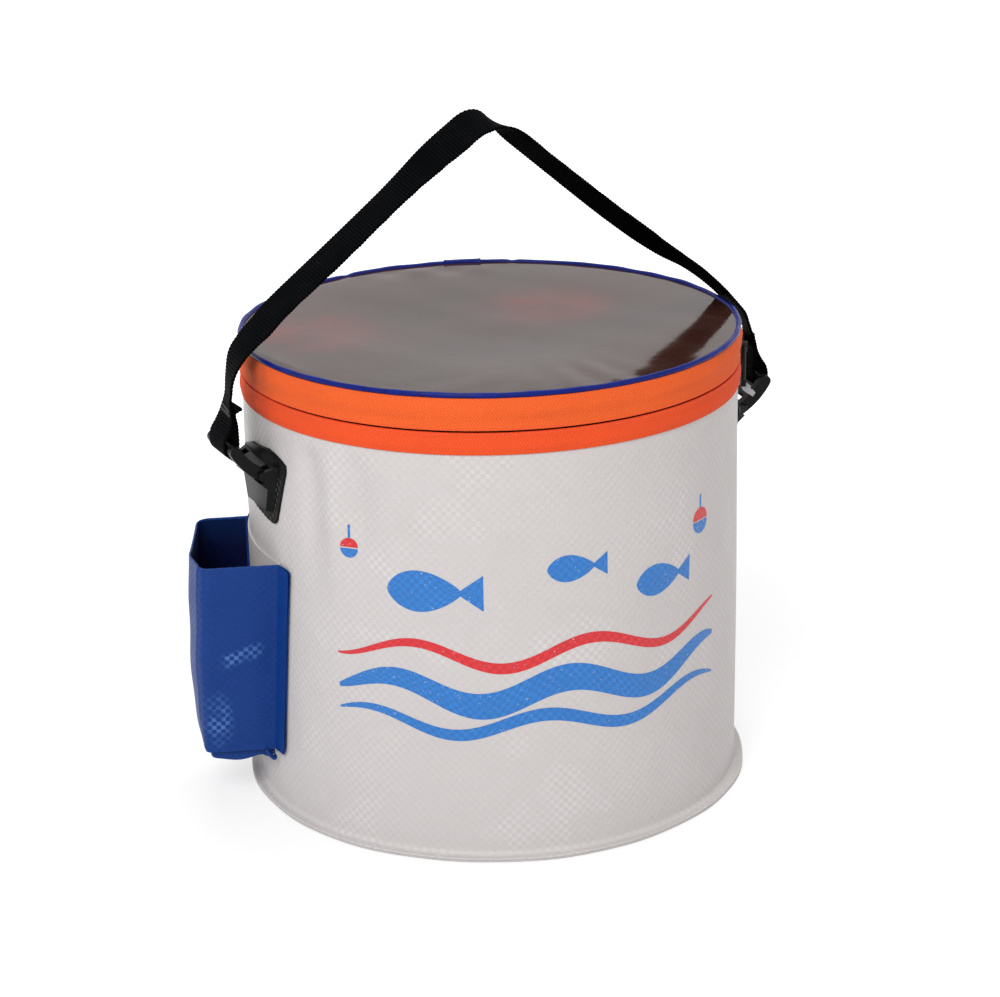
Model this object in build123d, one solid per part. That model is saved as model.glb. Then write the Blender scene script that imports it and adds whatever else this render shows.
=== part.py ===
from build123d import *
from math import atan, atan2, cos, degrees, radians, sin
import os

# Round bait and fishing bag of welded coated fabric, with a zipped clear lid, a webbing
# carrying strap on two swinging rings, and a bellows pocket on its left side.
# Millimetres. Z is up, the base stands on z = 0, and the printed front faces -Y.
# Azimuths are in degrees from the front (-Y), positive towards +X.

# Driving dimensions of the bag's body
BAG_RADIUS = 150.0
WALL_THICKNESS = 1.2
BASE_THICKNESS = 1.2
LIP_WIDTH = 6.0
LIP_FILLET = 3.0
REAR_DEG = 180.0
SEAM_WIDTH = 25.0
SEAM_THICKNESS = 0.8
SEAM_MARGIN = 1.0

# Zip and lid: the zip's line carries the wall's top below it and the lid above it
ZIP_HEIGHT = 262.0
WALL_DROP = 6.0
LOWER_TAPE_WIDTH = 12.9
LID_RISE = 21.0
TAPE_THICKNESS = 1.0
ZIP_GAP = 1.2
COIL_HEIGHT = 3.0
COIL_DEPTH = 1.8
ZIP_END_DEG = 168.0
STOP_LENGTH = 4.0
FILM_THICKNESS = 0.5
HEM_DEPTH = 7.0
WELT_THICKNESS = 0.8
PIPING_RADIUS = 1.6
SLEEVE_THICKNESS = 0.6
SLEEVE_LENGTH = 24.0
HINGE_WIDTH = 50.0
HINGE_THICKNESS = 1.0
HINGE_HEIGHT = 32.0

# Sliders and their pulls
SLIDER_FRONT_DEG = 87.4
SLIDER_GAP = 0.6
SLIDER_LENGTH = 12.0
SLIDER_HEIGHT = 9.0
SLIDER_PLATE = 1.6
SLIDER_WEB = 0.6
SLIDER_ROOT = 0.5
BRIDGE_LENGTH = 4.0
BRIDGE_HEIGHT = 6.0
BRIDGE_STAND = 4.4
LINK_WIRE = 0.9
LINK_WIDTH = 7.2
LINK_DROP = 20.0
GRIP_WIDTH = 5.0
GRIP_THICKNESS = 2.8
GRIP_DROP = 8.0
GRIP_KICK = 6.5
GRIP_KICK_DROP = 4.5
GRIP_BEND = 3.0
GRIP_NECK = 1.2

# Strap anchors: a sewn patch with a moulded housing, and the ring that swings in it. Their
# heights are taken from the ring's pin, which lies a drop below the zip's line
ANCHOR_LEFT_DEG = -71.0
ANCHOR_RIGHT_DEG = 100.5
RING_PIVOT_DROP = 45.5
RING_PIVOT_STAND = 6.0
PATCH_THICKNESS = 1.3
PATCH_TOP_RISE = 14.5
PATCH_SHOULDER_RISE = 7.5
PATCH_BOTTOM_DROP = 32.0
PATCH_TOP_HALF = 16.0
PATCH_SHOULDER_HALF = 33.0
PATCH_BOTTOM_HALF = 18.5
PATCH_CORNER = 4.0
STITCH_LENGTH = 3.4
STITCH_WIDTH = 1.0
STITCH_RISE = 0.5
STITCH_INSET = 3.0
STITCH_PITCH = 4.8
HOUSING_HALF = 27.0
HOUSING_LOW_HALF = 17.5
HOUSING_TOP_RISE = 7.0
HOUSING_BOTTOM_DROP = 25.5
HOUSING_STAND = 10.0
HOUSING_PLATE_STAND = 4.5
HOUSING_STEP_DROP = 3.5
HOUSING_STEP_SLOPE = 5.0
HOUSING_SIDE_BEVEL = 5.0
HOUSING_END_BEVEL = 4.5
RING_PIN_RADIUS = 2.5
RING_BAR_RADIUS = 3.0
RING_THICKNESS = 7.0
RING_REACH = 23.5
RING_TILT = 45.0
RING_BOW = 15.0
RING_WINDOW = 28.0
RING_ARM = 6.0
RING_WEB_THICKNESS = 3.5
RING_WEB_FROM = 0.38
RING_WEB_TO = 0.72

# Strap
STRAP_WIDTH = 25.0
STRAP_THICKNESS = 1.6
LOOP_CLOSE = 16.5
LOOP_EYE = 13.0
LOOP_EYE_RADIUS = 0.4
LEG_LEAN = 2.2
SPLIT_LEAN = 3.8
SPLIT_RISE = 12.4
SEWN_LEAN = 0.5
SEWN_RISE = 5.0
TAIL_LENGTH = 6.5
TAIL_ANGLE = 66.0
TACK_THICKNESS = 0.5
TACK_HEIGHT = 1.6
TACK_MARGIN = 3.0
TACK_RISE = 3.0
TACK_PITCH = 2.4
TACK_COUNT = 2
ARCH_RISE = 146.0
# The arch from its left to its right end: (share of its half span from the middle, share of
# its rise, twist about its run in degrees; positive shows the upper face to the front)
ARCH_ROUTE = [
    (-1.0, 0.0, -6.0),
    (-0.990, 0.082, -4.0),
    (-0.964, 0.161, 4.0),
    (-0.919, 0.221, 9.0),
    (-0.795, 0.347, 13.0),
    (-0.600, 0.529, 14.0),
    (-0.324, 0.789, 16.0),
    (-0.230, 0.875, 23.0),
    (-0.134, 0.953, 27.0),
    (-0.080, 0.991, 25.0),
    (-0.035, 1.0, 18.0),
    (0.010, 0.984, 4.0),
    (0.069, 0.938, -14.0),
    (0.181, 0.830, -18.0),
    (0.414, 0.605, -20.0),
    (0.606, 0.430, -19.0),
    (0.761, 0.303, -10.0),
    (0.881, 0.193, -4.0),
    (0.936, 0.123, 0.0),
    (0.975, 0.062, 3.0),
    (1.0, 0.0, 6.0),
]

# Pocket on the left side: its front and rear sides stand along X, and the front one leans
POCKET_REACH = 37.5
POCKET_FRONT_TOP = -66.0
POCKET_FRONT_LOW = -52.0
POCKET_REAR = 21.0
POCKET_CORNER_WIDTH = 25.0
POCKET_CORNER_DEPTH = 7.0
POCKET_REAR_DEPTH = 6.0
POCKET_FLOOR = 40.0
POCKET_TOP = 161.0
POCKET_SKIN = 1.2
POCKET_FLANGE = 5.0
POCKET_SEAM_DROP = 6.0

# Clearances
SEAT_CLEARANCE = 0.05
RUNNING_CLEARANCE = 0.3

# Sizes that follow from the ones above
WALL_INNER = BAG_RADIUS - WALL_THICKNESS
WALL_TOP = ZIP_HEIGHT - WALL_DROP
LID_TOP = ZIP_HEIGHT + LID_RISE
TAPE_INNER = BAG_RADIUS + SEAT_CLEARANCE
TAPE_OUTER = TAPE_INNER + TAPE_THICKNESS
COIL_INNER = BAG_RADIUS - COIL_DEPTH
ZIP_LOWER = ZIP_HEIGHT - ZIP_GAP / 2
ZIP_UPPER = ZIP_HEIGHT + ZIP_GAP / 2
LOWER_TAPE_BOTTOM = ZIP_LOWER - LOWER_TAPE_WIDTH
WELT_INNER = BAG_RADIUS - WELT_THICKNESS
FILM_RADIUS = WELT_INNER - SEAT_CLEARANCE
PATCH_INNER = BAG_RADIUS + SEAT_CLEARANCE
PATCH_OUTER = PATCH_INNER + PATCH_THICKNESS
ANCHOR_DEGS = {"left": ANCHOR_LEFT_DEG, "right": ANCHOR_RIGHT_DEG}
RING_PIVOT_RADIUS = BAG_RADIUS + RING_PIVOT_STAND
RING_PIVOT_HEIGHT = ZIP_HEIGHT - RING_PIVOT_DROP
PATCH_TOP = RING_PIVOT_HEIGHT + PATCH_TOP_RISE
PATCH_SHOULDER = RING_PIVOT_HEIGHT + PATCH_SHOULDER_RISE
PATCH_BOTTOM = RING_PIVOT_HEIGHT - PATCH_BOTTOM_DROP
HOUSING_TOP = RING_PIVOT_HEIGHT + HOUSING_TOP_RISE
HOUSING_BOTTOM = RING_PIVOT_HEIGHT - HOUSING_BOTTOM_DROP
HOUSING_FACE_RADIUS = BAG_RADIUS + HOUSING_STAND
HOUSING_PLATE_RADIUS = BAG_RADIUS + HOUSING_PLATE_STAND
HOUSING_STEP = RING_PIVOT_HEIGHT - HOUSING_STEP_DROP
POCKET_SEAT = BAG_RADIUS + 2 * SEAT_CLEARANCE + POCKET_SKIN

os.makedirs("parts", exist_ok=True)


def save(node, shape):
    """Writes one node's STEP file."""
    solids = list(shape.solids())
    export_step(solids[0] if len(solids) == 1 else Compound(solids), f"parts/{node}.step")
    print(f"{node}: {len(solids)} solids, {sum(s.volume for s in solids):.0f} mm3")


def arc_deg(length, radius):
    """The angle in degrees that a length takes up round a circle."""
    return degrees(length / radius)


def band(r_inner, r_outer, z_low, z_high):
    """A full ring of rectangular section about the bag's axis."""
    tall = z_high - z_low
    up = (Align.CENTER, Align.CENTER, Align.MIN)
    return Pos(0, 0, z_low) * (Cylinder(r_outer, tall, align=up) - Cylinder(r_inner, tall, align=up))


def sector(r_inner, r_outer, z_low, z_high, deg_from, deg_to):
    """A piece of such a ring between two azimuths."""
    middle = Pos((r_inner + r_outer) / 2, (z_low + z_high) / 2)
    section = Plane.XZ * middle * Rectangle(r_outer - r_inner, z_high - z_low)
    turned = revolve(section, axis=Axis.Z, revolution_arc=deg_to - deg_from)
    return Rot(0, 0, deg_from - 90) * turned


def radial(deg, radius, height=0.0):
    """The point at an azimuth, a radius and a height."""
    return Vector(radius * sin(radians(deg)), -radius * cos(radians(deg)), height)


def facing(deg):
    """A plane through the axis that looks outwards: its X is along the wall, its Y is up."""
    along = (cos(radians(deg)), sin(radians(deg)), 0)
    return Plane(origin=(0, 0, 0), x_dir=along, z_dir=radial(deg, 1))


def side_plane(deg, offset=0.0):
    """A plane square to the wall at an azimuth: its X is outwards, its Y is up."""
    along = Vector(cos(radians(deg)), sin(radians(deg)), 0)
    return Plane(origin=along * offset, x_dir=radial(deg, 1), z_dir=along * -1)


# Body: wall with its turned-out lip, base and the strip over the wall's rear seam
def wall_panel():
    lip = BAG_RADIUS + LIP_WIDTH
    low, high = BASE_THICKNESS, BASE_THICKNESS + WALL_THICKNESS
    bend = high + LIP_FILLET
    outline = [
        Line((WALL_INNER, low), (lip, low)),
        Line((lip, low), (lip, high)),
        Line((lip, high), (BAG_RADIUS + LIP_FILLET, high)),
        RadiusArc((BAG_RADIUS + LIP_FILLET, high), (BAG_RADIUS, bend), LIP_FILLET),
        Line((BAG_RADIUS, bend), (BAG_RADIUS, WALL_TOP)),
        Line((BAG_RADIUS, WALL_TOP), (WALL_INNER, WALL_TOP)),
        Line((WALL_INNER, WALL_TOP), (WALL_INNER, low)),
    ]
    return revolve(Plane.XZ * make_face(outline), axis=Axis.Z)


def base_panel():
    up = (Align.CENTER, Align.CENTER, Align.MIN)
    return Cylinder(BAG_RADIUS + LIP_WIDTH, BASE_THICKNESS, align=up)


def wall_seam_strip():
    half = arc_deg(SEAM_WIDTH, BAG_RADIUS) / 2
    inner = BAG_RADIUS + SEAT_CLEARANCE
    outer = inner + SEAM_THICKNESS
    low = BASE_THICKNESS + WALL_THICKNESS + LIP_FILLET + SEAM_MARGIN
    high = LOWER_TAPE_BOTTOM - SEAM_MARGIN
    return sector(inner, outer, low, high, REAR_DEG - half, REAR_DEG + half)


# Zip: a tape and a coil row on each side of the opening, and end stops
def zip_tape_lower():
    return band(TAPE_INNER, TAPE_OUTER, LOWER_TAPE_BOTTOM, ZIP_LOWER)


def zip_tape_upper():
    return band(TAPE_INNER, TAPE_OUTER, ZIP_UPPER, LID_TOP - PIPING_RADIUS)


def zip_coil(z_low, z_high):
    return sector(COIL_INNER, BAG_RADIUS, z_low, z_high, -ZIP_END_DEG, ZIP_END_DEG)


def zip_stops(z_low, z_high):
    span = arc_deg(STOP_LENGTH, BAG_RADIUS)
    inner = COIL_INNER - SEAT_CLEARANCE
    gap = arc_deg(SEAT_CLEARANCE, BAG_RADIUS)
    left = sector(inner, BAG_RADIUS, z_low, z_high, -ZIP_END_DEG - gap - span, -ZIP_END_DEG - gap)
    right = sector(inner, BAG_RADIUS, z_low, z_high, ZIP_END_DEG + gap, ZIP_END_DEG + gap + span)
    return Compound([left, right])


# Lid: clear film with a turned-down hem, piping with its welt, and the patch it hinges on
def lid_window():
    disc_low = LID_TOP - FILM_THICKNESS
    outline = Polyline(
        (0, LID_TOP),
        (FILM_RADIUS, LID_TOP),
        (FILM_RADIUS, LID_TOP - HEM_DEPTH),
        (FILM_RADIUS - FILM_THICKNESS, LID_TOP - HEM_DEPTH),
        (FILM_RADIUS - FILM_THICKNESS, disc_low),
        (0, disc_low),
        close=True,
    )
    return revolve(Plane.XZ * make_face(outline), axis=Axis.Z)


def lid_piping():
    bead = Pos(BAG_RADIUS, LID_TOP) * Circle(PIPING_RADIUS)
    welt_middle = Pos((WELT_INNER + BAG_RADIUS) / 2, LID_TOP - HEM_DEPTH / 2)
    welt = welt_middle * Rectangle(WELT_THICKNESS, HEM_DEPTH)
    film_edge = Pos(FILM_RADIUS / 2, LID_TOP - FILM_THICKNESS / 2) * Rectangle(
        FILM_RADIUS + 2 * SEAT_CLEARANCE, 2 * PIPING_RADIUS + FILM_THICKNESS
    )
    return revolve(Plane.XZ * (bead + welt - film_edge), axis=Axis.Z)


def piping_sleeve():
    inner = PIPING_RADIUS + SEAT_CLEARANCE
    half = arc_deg(SLEEVE_LENGTH, BAG_RADIUS) / 2
    tube = Pos(BAG_RADIUS, LID_TOP) * (Circle(inner + SLEEVE_THICKNESS) - Circle(inner))
    upper_half = Pos(BAG_RADIUS, LID_TOP + inner) * Rectangle(4 * inner, 2 * inner)
    arc = revolve(Plane.XZ * (tube & upper_half), axis=Axis.Z, revolution_arc=2 * half)
    return Rot(0, 0, 90 - half) * arc


def hinge_patch(z_low, z_high):
    outer = min(COIL_INNER, WALL_INNER, FILM_RADIUS - FILM_THICKNESS) - SEAT_CLEARANCE
    half = arc_deg(HINGE_WIDTH, BAG_RADIUS) / 2
    return sector(outer - HINGE_THICKNESS, outer, z_low, z_high, REAR_DEG - half, REAR_DEG + half)


# Sliders: an outer and an inner plate joined through the gap between the tapes
def zip_slider(deg):
    half = arc_deg(SLIDER_LENGTH, BAG_RADIUS) / 2
    low, high = ZIP_HEIGHT - SLIDER_HEIGHT / 2, ZIP_HEIGHT + SLIDER_HEIGHT / 2
    face = TAPE_OUTER + RUNNING_CLEARANCE
    back = COIL_INNER - RUNNING_CLEARANCE
    front_plate = sector(face, face + SLIDER_PLATE, low, high, deg - half, deg + half)
    back_plate = sector(back - SLIDER_PLATE, back, low, high, deg - half, deg + half)
    web_low, web_high = ZIP_HEIGHT - SLIDER_WEB / 2, ZIP_HEIGHT + SLIDER_WEB / 2
    inside, outside = back - SLIDER_ROOT, face + SLIDER_ROOT
    web = sector(inside, outside, web_low, web_high, deg - half / 2, deg + half / 2)
    stand = face + SLIDER_PLATE
    bridge_half = arc_deg(BRIDGE_LENGTH, stand) / 2
    bridge_low, bridge_high = ZIP_HEIGHT - BRIDGE_HEIGHT / 2, ZIP_HEIGHT + BRIDGE_HEIGHT / 2
    reach = stand + BRIDGE_STAND
    root = stand - SLIDER_ROOT
    bridge = sector(root, reach, bridge_low, bridge_high, deg - bridge_half, deg + bridge_half)
    eye = side_plane(deg) * Pos(pull_radius(), ZIP_HEIGHT) * Circle(LINK_WIRE + RUNNING_CLEARANCE)
    return front_plate + back_plate + web + bridge - extrude(eye, LINK_WIDTH, both=True)


def pull_radius():
    """The radius at which the pull's cross wire hangs in the slider's bridge."""
    return TAPE_OUTER + RUNNING_CLEARANCE + SLIDER_PLATE + BRIDGE_STAND / 2


# Pull: a wire link, and a moulded grip that kicks outwards at its end
def pull_link(deg):
    radius, half = pull_radius(), LINK_WIDTH / 2
    top, bottom = ZIP_HEIGHT, ZIP_HEIGHT - LINK_DROP
    plane = facing(deg)
    wires = []
    for height in (top, bottom):
        wires.append(Pos(0, height, radius) * Rot(0, 90, 0) * Cylinder(LINK_WIRE, LINK_WIDTH))
    for along in (-half, half):
        wires.append(Pos(along, (top + bottom) / 2, radius) * Rot(90, 0, 0) * Cylinder(LINK_WIRE, LINK_DROP))
        for height in (top, bottom):
            wires.append(Pos(along, height, radius) * Sphere(LINK_WIRE))
    link = wires[0]
    for wire in wires[1:]:
        link = link + wire
    return plane.location * link


def pull_grip(deg):
    radius = pull_radius()
    start = ZIP_HEIGHT - LINK_DROP + LINK_WIRE + GRIP_NECK
    knee = start - GRIP_DROP
    route = FilletPolyline(
        (radius, start),
        (radius, knee),
        (radius + GRIP_KICK, knee - GRIP_KICK_DROP),
        radius=GRIP_BEND,
    )
    profile = side_plane(deg) * trace(route, GRIP_THICKNESS)
    grip = extrude(profile, GRIP_WIDTH / 2, both=True)
    hole_at = Pos(radius, ZIP_HEIGHT - LINK_DROP)
    hole = extrude(side_plane(deg) * hole_at * Circle(LINK_WIRE + SEAT_CLEARANCE), LINK_WIDTH, both=True)
    return grip - hole


# Anchors
def on_wall(deg, outline, r_inner, r_outer):
    """A flat outline wrapped onto the wall: cut from the ring between two radii."""
    block = extrude(facing(deg).offset(BAG_RADIUS / 2) * outline, BAG_RADIUS)
    margin = r_outer - r_inner
    return block & band(r_inner, r_outer, PATCH_BOTTOM - margin, PATCH_TOP + margin)


def patch_corners(inset=0.0):
    """The patch's corners, along the wall and up, drawn in by an inset."""
    half = [
        (PATCH_BOTTOM_HALF - inset, PATCH_BOTTOM + inset),
        (PATCH_SHOULDER_HALF - inset, PATCH_SHOULDER - inset / 2),
        (PATCH_TOP_HALF - inset / 2, PATCH_TOP - inset),
    ]
    return half + [(-x, y) for x, y in reversed(half)]


def anchor_patch(deg):
    outline = make_face(Polyline(*patch_corners(), close=True))
    return on_wall(deg, fillet(outline.vertices(), PATCH_CORNER), PATCH_INNER, PATCH_OUTER)


def anchor_stitching(deg):
    """One raised stitch after another, a fixed inset from the patch's edge."""
    corners = patch_corners(STITCH_INSET)
    stitches = []
    for start, end in zip(corners, corners[1:] + corners[:1]):
        run = Vector(end[0] - start[0], end[1] - start[1])
        count = int(run.length // STITCH_PITCH)
        turn = degrees(atan2(run.Y, run.X))
        for i in range(count):
            share = (i + 0.5) / count
            at = Pos(start[0] + run.X * share, start[1] + run.Y * share)
            stitch = at * Rot(0, 0, turn) * Rectangle(STITCH_LENGTH, STITCH_WIDTH)
            base = PATCH_OUTER + SEAT_CLEARANCE
            stitches.append(on_wall(deg, stitch, base, base + STITCH_RISE))
    return Compound([s for stitch in stitches for s in stitch.solids()])


def housing_outline(side_bevel, end_bevel):
    """The housing seen from outside, its sides and its ends drawn in by the bevels."""
    top, low = HOUSING_TOP - end_bevel, HOUSING_BOTTOM + end_bevel
    wide, narrow = HOUSING_HALF - side_bevel, HOUSING_LOW_HALF - side_bevel
    return make_face(Polyline((-narrow, low), (narrow, low), (wide, top), (-wide, top), close=True))


def anchor_housing(deg):
    """The raised housing: a knuckle over a lower plate, with bevelled sides, a bore for the
    ring's pin and slots for its arms."""
    plane = facing(deg)
    foot = cos(radians(arc_deg(HOUSING_HALF, BAG_RADIUS))) * BAG_RADIUS
    base = plane.offset(foot) * housing_outline(0, 0)
    face = plane.offset(HOUSING_FACE_RADIUS) * housing_outline(HOUSING_SIDE_BEVEL, HOUSING_END_BEVEL)
    block = loft([base, face], ruled=True)
    block = block - band(BAG_RADIUS / 2, PATCH_OUTER + SEAT_CLEARANCE, PATCH_BOTTOM, PATCH_TOP)
    clear, below = HOUSING_FACE_RADIUS + HOUSING_STAND, HOUSING_BOTTOM - HOUSING_STAND
    cut = Polyline(
        (HOUSING_PLATE_RADIUS, below),
        (HOUSING_PLATE_RADIUS, HOUSING_STEP - HOUSING_STEP_SLOPE),
        (HOUSING_FACE_RADIUS, HOUSING_STEP),
        (clear, HOUSING_STEP),
        (clear, below),
        close=True,
    )
    block = block - extrude(side_plane(deg) * make_face(cut), HOUSING_HALF, both=True)
    bore_at = Pos(RING_PIVOT_RADIUS, RING_PIVOT_HEIGHT)
    bore = side_plane(deg) * bore_at * Circle(RING_PIN_RADIUS + RUNNING_CLEARANCE)
    block = block - extrude(bore, RING_WINDOW / 2 + RING_ARM, both=True)
    slot_inner = RING_PIVOT_RADIUS - RING_THICKNESS / 2 - RUNNING_CLEARANCE
    slot_low = RING_PIVOT_HEIGHT - RING_THICKNESS / 2 - 2 * RUNNING_CLEARANCE
    slot_width = RING_ARM + 4 * RUNNING_CLEARANCE
    tall = PATCH_TOP - slot_low
    for side in (-1, 1):
        middle = side * (RING_WINDOW + RING_ARM) / 2
        slot = Pos(middle, slot_low + tall / 2) * Rectangle(slot_width, tall)
        block = block - extrude(plane.offset(slot_inner) * slot, HOUSING_STAND)
    return block


def ring_bar():
    """The ring's outer bar, as (outwards, up) at rest."""
    out = RING_PIVOT_RADIUS + RING_REACH * cos(radians(RING_TILT))
    return out, RING_PIVOT_HEIGHT + RING_REACH * sin(radians(RING_TILT))


def strap_ring(deg):
    """A closed ring: a pin in the housing, two bowed arms with a web between them, and the bar
    that the strap goes round, past a window in the web."""
    pivot = (RING_PIVOT_RADIUS, RING_PIVOT_HEIGHT)
    bow_radius = RING_REACH / (2 * sin(radians(RING_BOW)))
    curve = RadiusArc(pivot, ring_bar(), -bow_radius)
    arm = SlotArc(curve, RING_THICKNESS)
    middle = (RING_WINDOW + RING_ARM) / 2
    left = extrude(side_plane(deg, -middle) * arm, RING_ARM / 2, both=True)
    right = extrude(side_plane(deg, middle) * arm, RING_ARM / 2, both=True)
    pin = extrude(side_plane(deg) * Pos(*pivot) * Circle(RING_PIN_RADIUS), middle, both=True)
    bar = extrude(side_plane(deg) * Pos(*ring_bar()) * Circle(RING_BAR_RADIUS), middle, both=True)
    plate = SlotArc(curve.trim(RING_WEB_FROM, RING_WEB_TO), RING_WEB_THICKNESS)
    web = extrude(side_plane(deg) * plate, middle, both=True)
    return left + right + pin + bar + web


# Strap
def strap_leg():
    """The single layer's lower and upper end over the loop, as (outwards, up)."""
    out, up = ring_bar()
    close = up + LOOP_CLOSE
    return (out - LEG_LEAN, close), (out - SPLIT_LEAN, close + SPLIT_RISE)


def strap_end(deg):
    """The strap's sewn end: a loop round the ring's bar, two layers sewn together, and the tail."""
    out, up = ring_bar()
    (leg, close), top = strap_leg()
    inner = RING_BAR_RADIUS + RUNNING_CLEARANCE
    turn = Pos(out, up) * Circle(inner + STRAP_THICKNESS)
    neck = Pos(leg, close) * Circle(STRAP_THICKNESS)
    belly = make_hull(turn.edges() + neck.edges())
    eye = Pos(out, up) * Circle(inner)
    eye_top = Pos(leg, up + LOOP_EYE) * Circle(LOOP_EYE_RADIUS)
    hollow = make_hull(eye.edges() + eye_top.edges())
    single = trace(Line((leg, close), top), STRAP_THICKNESS)
    under = leg - STRAP_THICKNESS
    knee = Vector(under - SEWN_LEAN, close + SEWN_RISE)
    sewn = trace(Line((under, close), knee), STRAP_THICKNESS)
    start = knee - Vector(0, STRAP_THICKNESS / 2)
    run = Vector(-sin(radians(TAIL_ANGLE)), cos(radians(TAIL_ANGLE)))
    tail = trace(Line(start, start + run * TAIL_LENGTH), STRAP_THICKNESS)
    above = Pos(leg, top[1] + TAIL_LENGTH) * Rectangle(4 * TAIL_LENGTH, 2 * TAIL_LENGTH)
    profile = belly + single + sewn + tail - hollow - above
    return extrude(side_plane(deg) * profile, STRAP_WIDTH / 2, both=True)


def strap_tacks(deg):
    """Rows of bar tacks, raised on the outer face of the sewn layers."""
    (leg, close), (top, _) = strap_leg()
    lean = degrees(atan((leg - top) / SPLIT_RISE))
    tacks = []
    for i in range(TACK_COUNT):
        rise = TACK_RISE + i * TACK_PITCH
        at = Pos(leg + (top - leg) * rise / SPLIT_RISE, close + rise) * Rot(0, 0, lean)
        stand = (STRAP_THICKNESS + TACK_THICKNESS) / 2 + SEAT_CLEARANCE
        tack = at * Pos(stand, 0) * Rectangle(TACK_THICKNESS, TACK_HEIGHT)
        tacks.append(extrude(side_plane(deg) * tack, STRAP_WIDTH / 2 - TACK_MARGIN, both=True))
    return Compound(tacks)


def strap_arch():
    """Webbing ruled through one flat section at each point of its route, turned by its twist."""
    _, (top, split) = strap_leg()
    left, right = (radial(ANCHOR_DEGS[side], top) for side in ("left", "right"))
    middle, half_span = (left + right) * 0.5, (right - left) * 0.5
    front = half_span.normalized().cross(Vector(0, 0, 1))
    foot = split + RUNNING_CLEARANCE
    points = [middle + half_span * u + Vector(0, 0, foot + ARCH_RISE * v) for u, v, _ in ARCH_ROUTE]
    runs = [(after - before).normalized() for before, after in zip(points, points[2:])]
    runs = [Vector(0, 0, 1)] + runs + [Vector(0, 0, -1)]
    sections = []
    for point, run, (_, _, twist) in zip(points, runs, ARCH_ROUTE):
        upper = front.cross(run).normalized()
        across = front * cos(radians(twist)) - upper * sin(radians(twist))
        plane = Plane(origin=point, x_dir=across, z_dir=run)
        sections.append(plane * Rectangle(STRAP_WIDTH, STRAP_THICKNESS))
    return loft(sections, ruled=True)


# Pocket
def pocket_outline(height):
    """The pocket seen from above at one height; it runs on into the bag behind the wall."""
    share = (height - POCKET_FLOOR) / (POCKET_TOP - POCKET_FLOOR)
    front = POCKET_FRONT_LOW + (POCKET_FRONT_TOP - POCKET_FRONT_LOW) * share
    outer = -(BAG_RADIUS + POCKET_REACH)
    corners = [
        (-BAG_RADIUS / 2, front),
        (outer + POCKET_CORNER_DEPTH, front),
        (outer, front + POCKET_CORNER_WIDTH),
        (outer + POCKET_REAR_DEPTH, POCKET_REAR),
        (-BAG_RADIUS / 2, POCKET_REAR),
    ]
    return make_face(Polyline(*corners, close=True))


def pocket_block(z_low, z_high, grow=0.0):
    """The solid between the outlines at two heights, each grown by a margin."""
    faces = []
    for height in (z_low, z_high):
        outline = pocket_outline(height)
        if grow:
            outline = offset(outline, grow, kind=Kind.INTERSECTION)
        faces.append(Pos(0, 0, height) * outline)
    return loft(faces, ruled=True)


def pocket_skin(z_low, z_high):
    """The pocket's sides between two heights, up to its back panel."""
    tube = pocket_block(z_low, z_high) - pocket_block(z_low, z_high, -POCKET_SKIN)
    return tube - band(1, POCKET_SEAT, z_low - 1, z_high + 1)


def pocket_panel():
    """Front, outer and rear sides in one piece, with a flange turned out along each edge."""
    around = pocket_block(POCKET_FLOOR, POCKET_TOP, POCKET_FLANGE)
    around = around - pocket_block(POCKET_FLOOR, POCKET_TOP, -POCKET_SKIN)
    flanges = around & band(POCKET_SEAT, POCKET_SEAT + POCKET_SKIN, POCKET_FLOOR, POCKET_TOP)
    return pocket_skin(POCKET_FLOOR, POCKET_TOP) + flanges


def pocket_back():
    inner = BAG_RADIUS + SEAT_CLEARANCE
    low = POCKET_FLOOR - POCKET_SKIN - POCKET_SEAM_DROP
    behind = pocket_block(low, POCKET_TOP, POCKET_FLANGE)
    return behind & band(inner, inner + POCKET_SKIN, low, POCKET_TOP)


def pocket_base():
    """The pocket's floor with its welded seam turned down below it."""
    top, low = POCKET_FLOOR, POCKET_FLOOR - POCKET_SKIN
    floor = pocket_block(low, top) - band(1, POCKET_SEAT, low - 1, top + 1)
    return floor + pocket_skin(low - POCKET_SEAM_DROP, low)


save("wall_panel", wall_panel())
save("base_panel", base_panel())
save("wall_seam_strip", wall_seam_strip())

save("zip_tape_lower", zip_tape_lower())
save("zip_tape_upper", zip_tape_upper())
save("zip_coil_lower", zip_coil(ZIP_LOWER - COIL_HEIGHT, ZIP_LOWER))
save("zip_coil_upper", zip_coil(ZIP_UPPER, ZIP_UPPER + COIL_HEIGHT))
save("zip_stops_lower", zip_stops(ZIP_LOWER - COIL_HEIGHT, ZIP_LOWER))
save("zip_stops_upper", zip_stops(ZIP_UPPER, ZIP_UPPER + COIL_HEIGHT))

save("lid_window", lid_window())
save("lid_piping", lid_piping())
save("piping_sleeve", piping_sleeve())
save("lid_hinge_lower", hinge_patch(ZIP_HEIGHT - HINGE_HEIGHT / 2, ZIP_LOWER))
save("lid_hinge_upper", hinge_patch(ZIP_UPPER, ZIP_HEIGHT + HINGE_HEIGHT / 2))

slider_degs = {
    "front": SLIDER_FRONT_DEG,
    "rear": SLIDER_FRONT_DEG + arc_deg(SLIDER_LENGTH + SLIDER_GAP, BAG_RADIUS),
}
for name, deg in slider_degs.items():
    save(f"zip_slider_{name}", zip_slider(deg))
    save(f"pull_link_{name}", pull_link(deg))
    save(f"pull_grip_{name}", pull_grip(deg))

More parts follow.
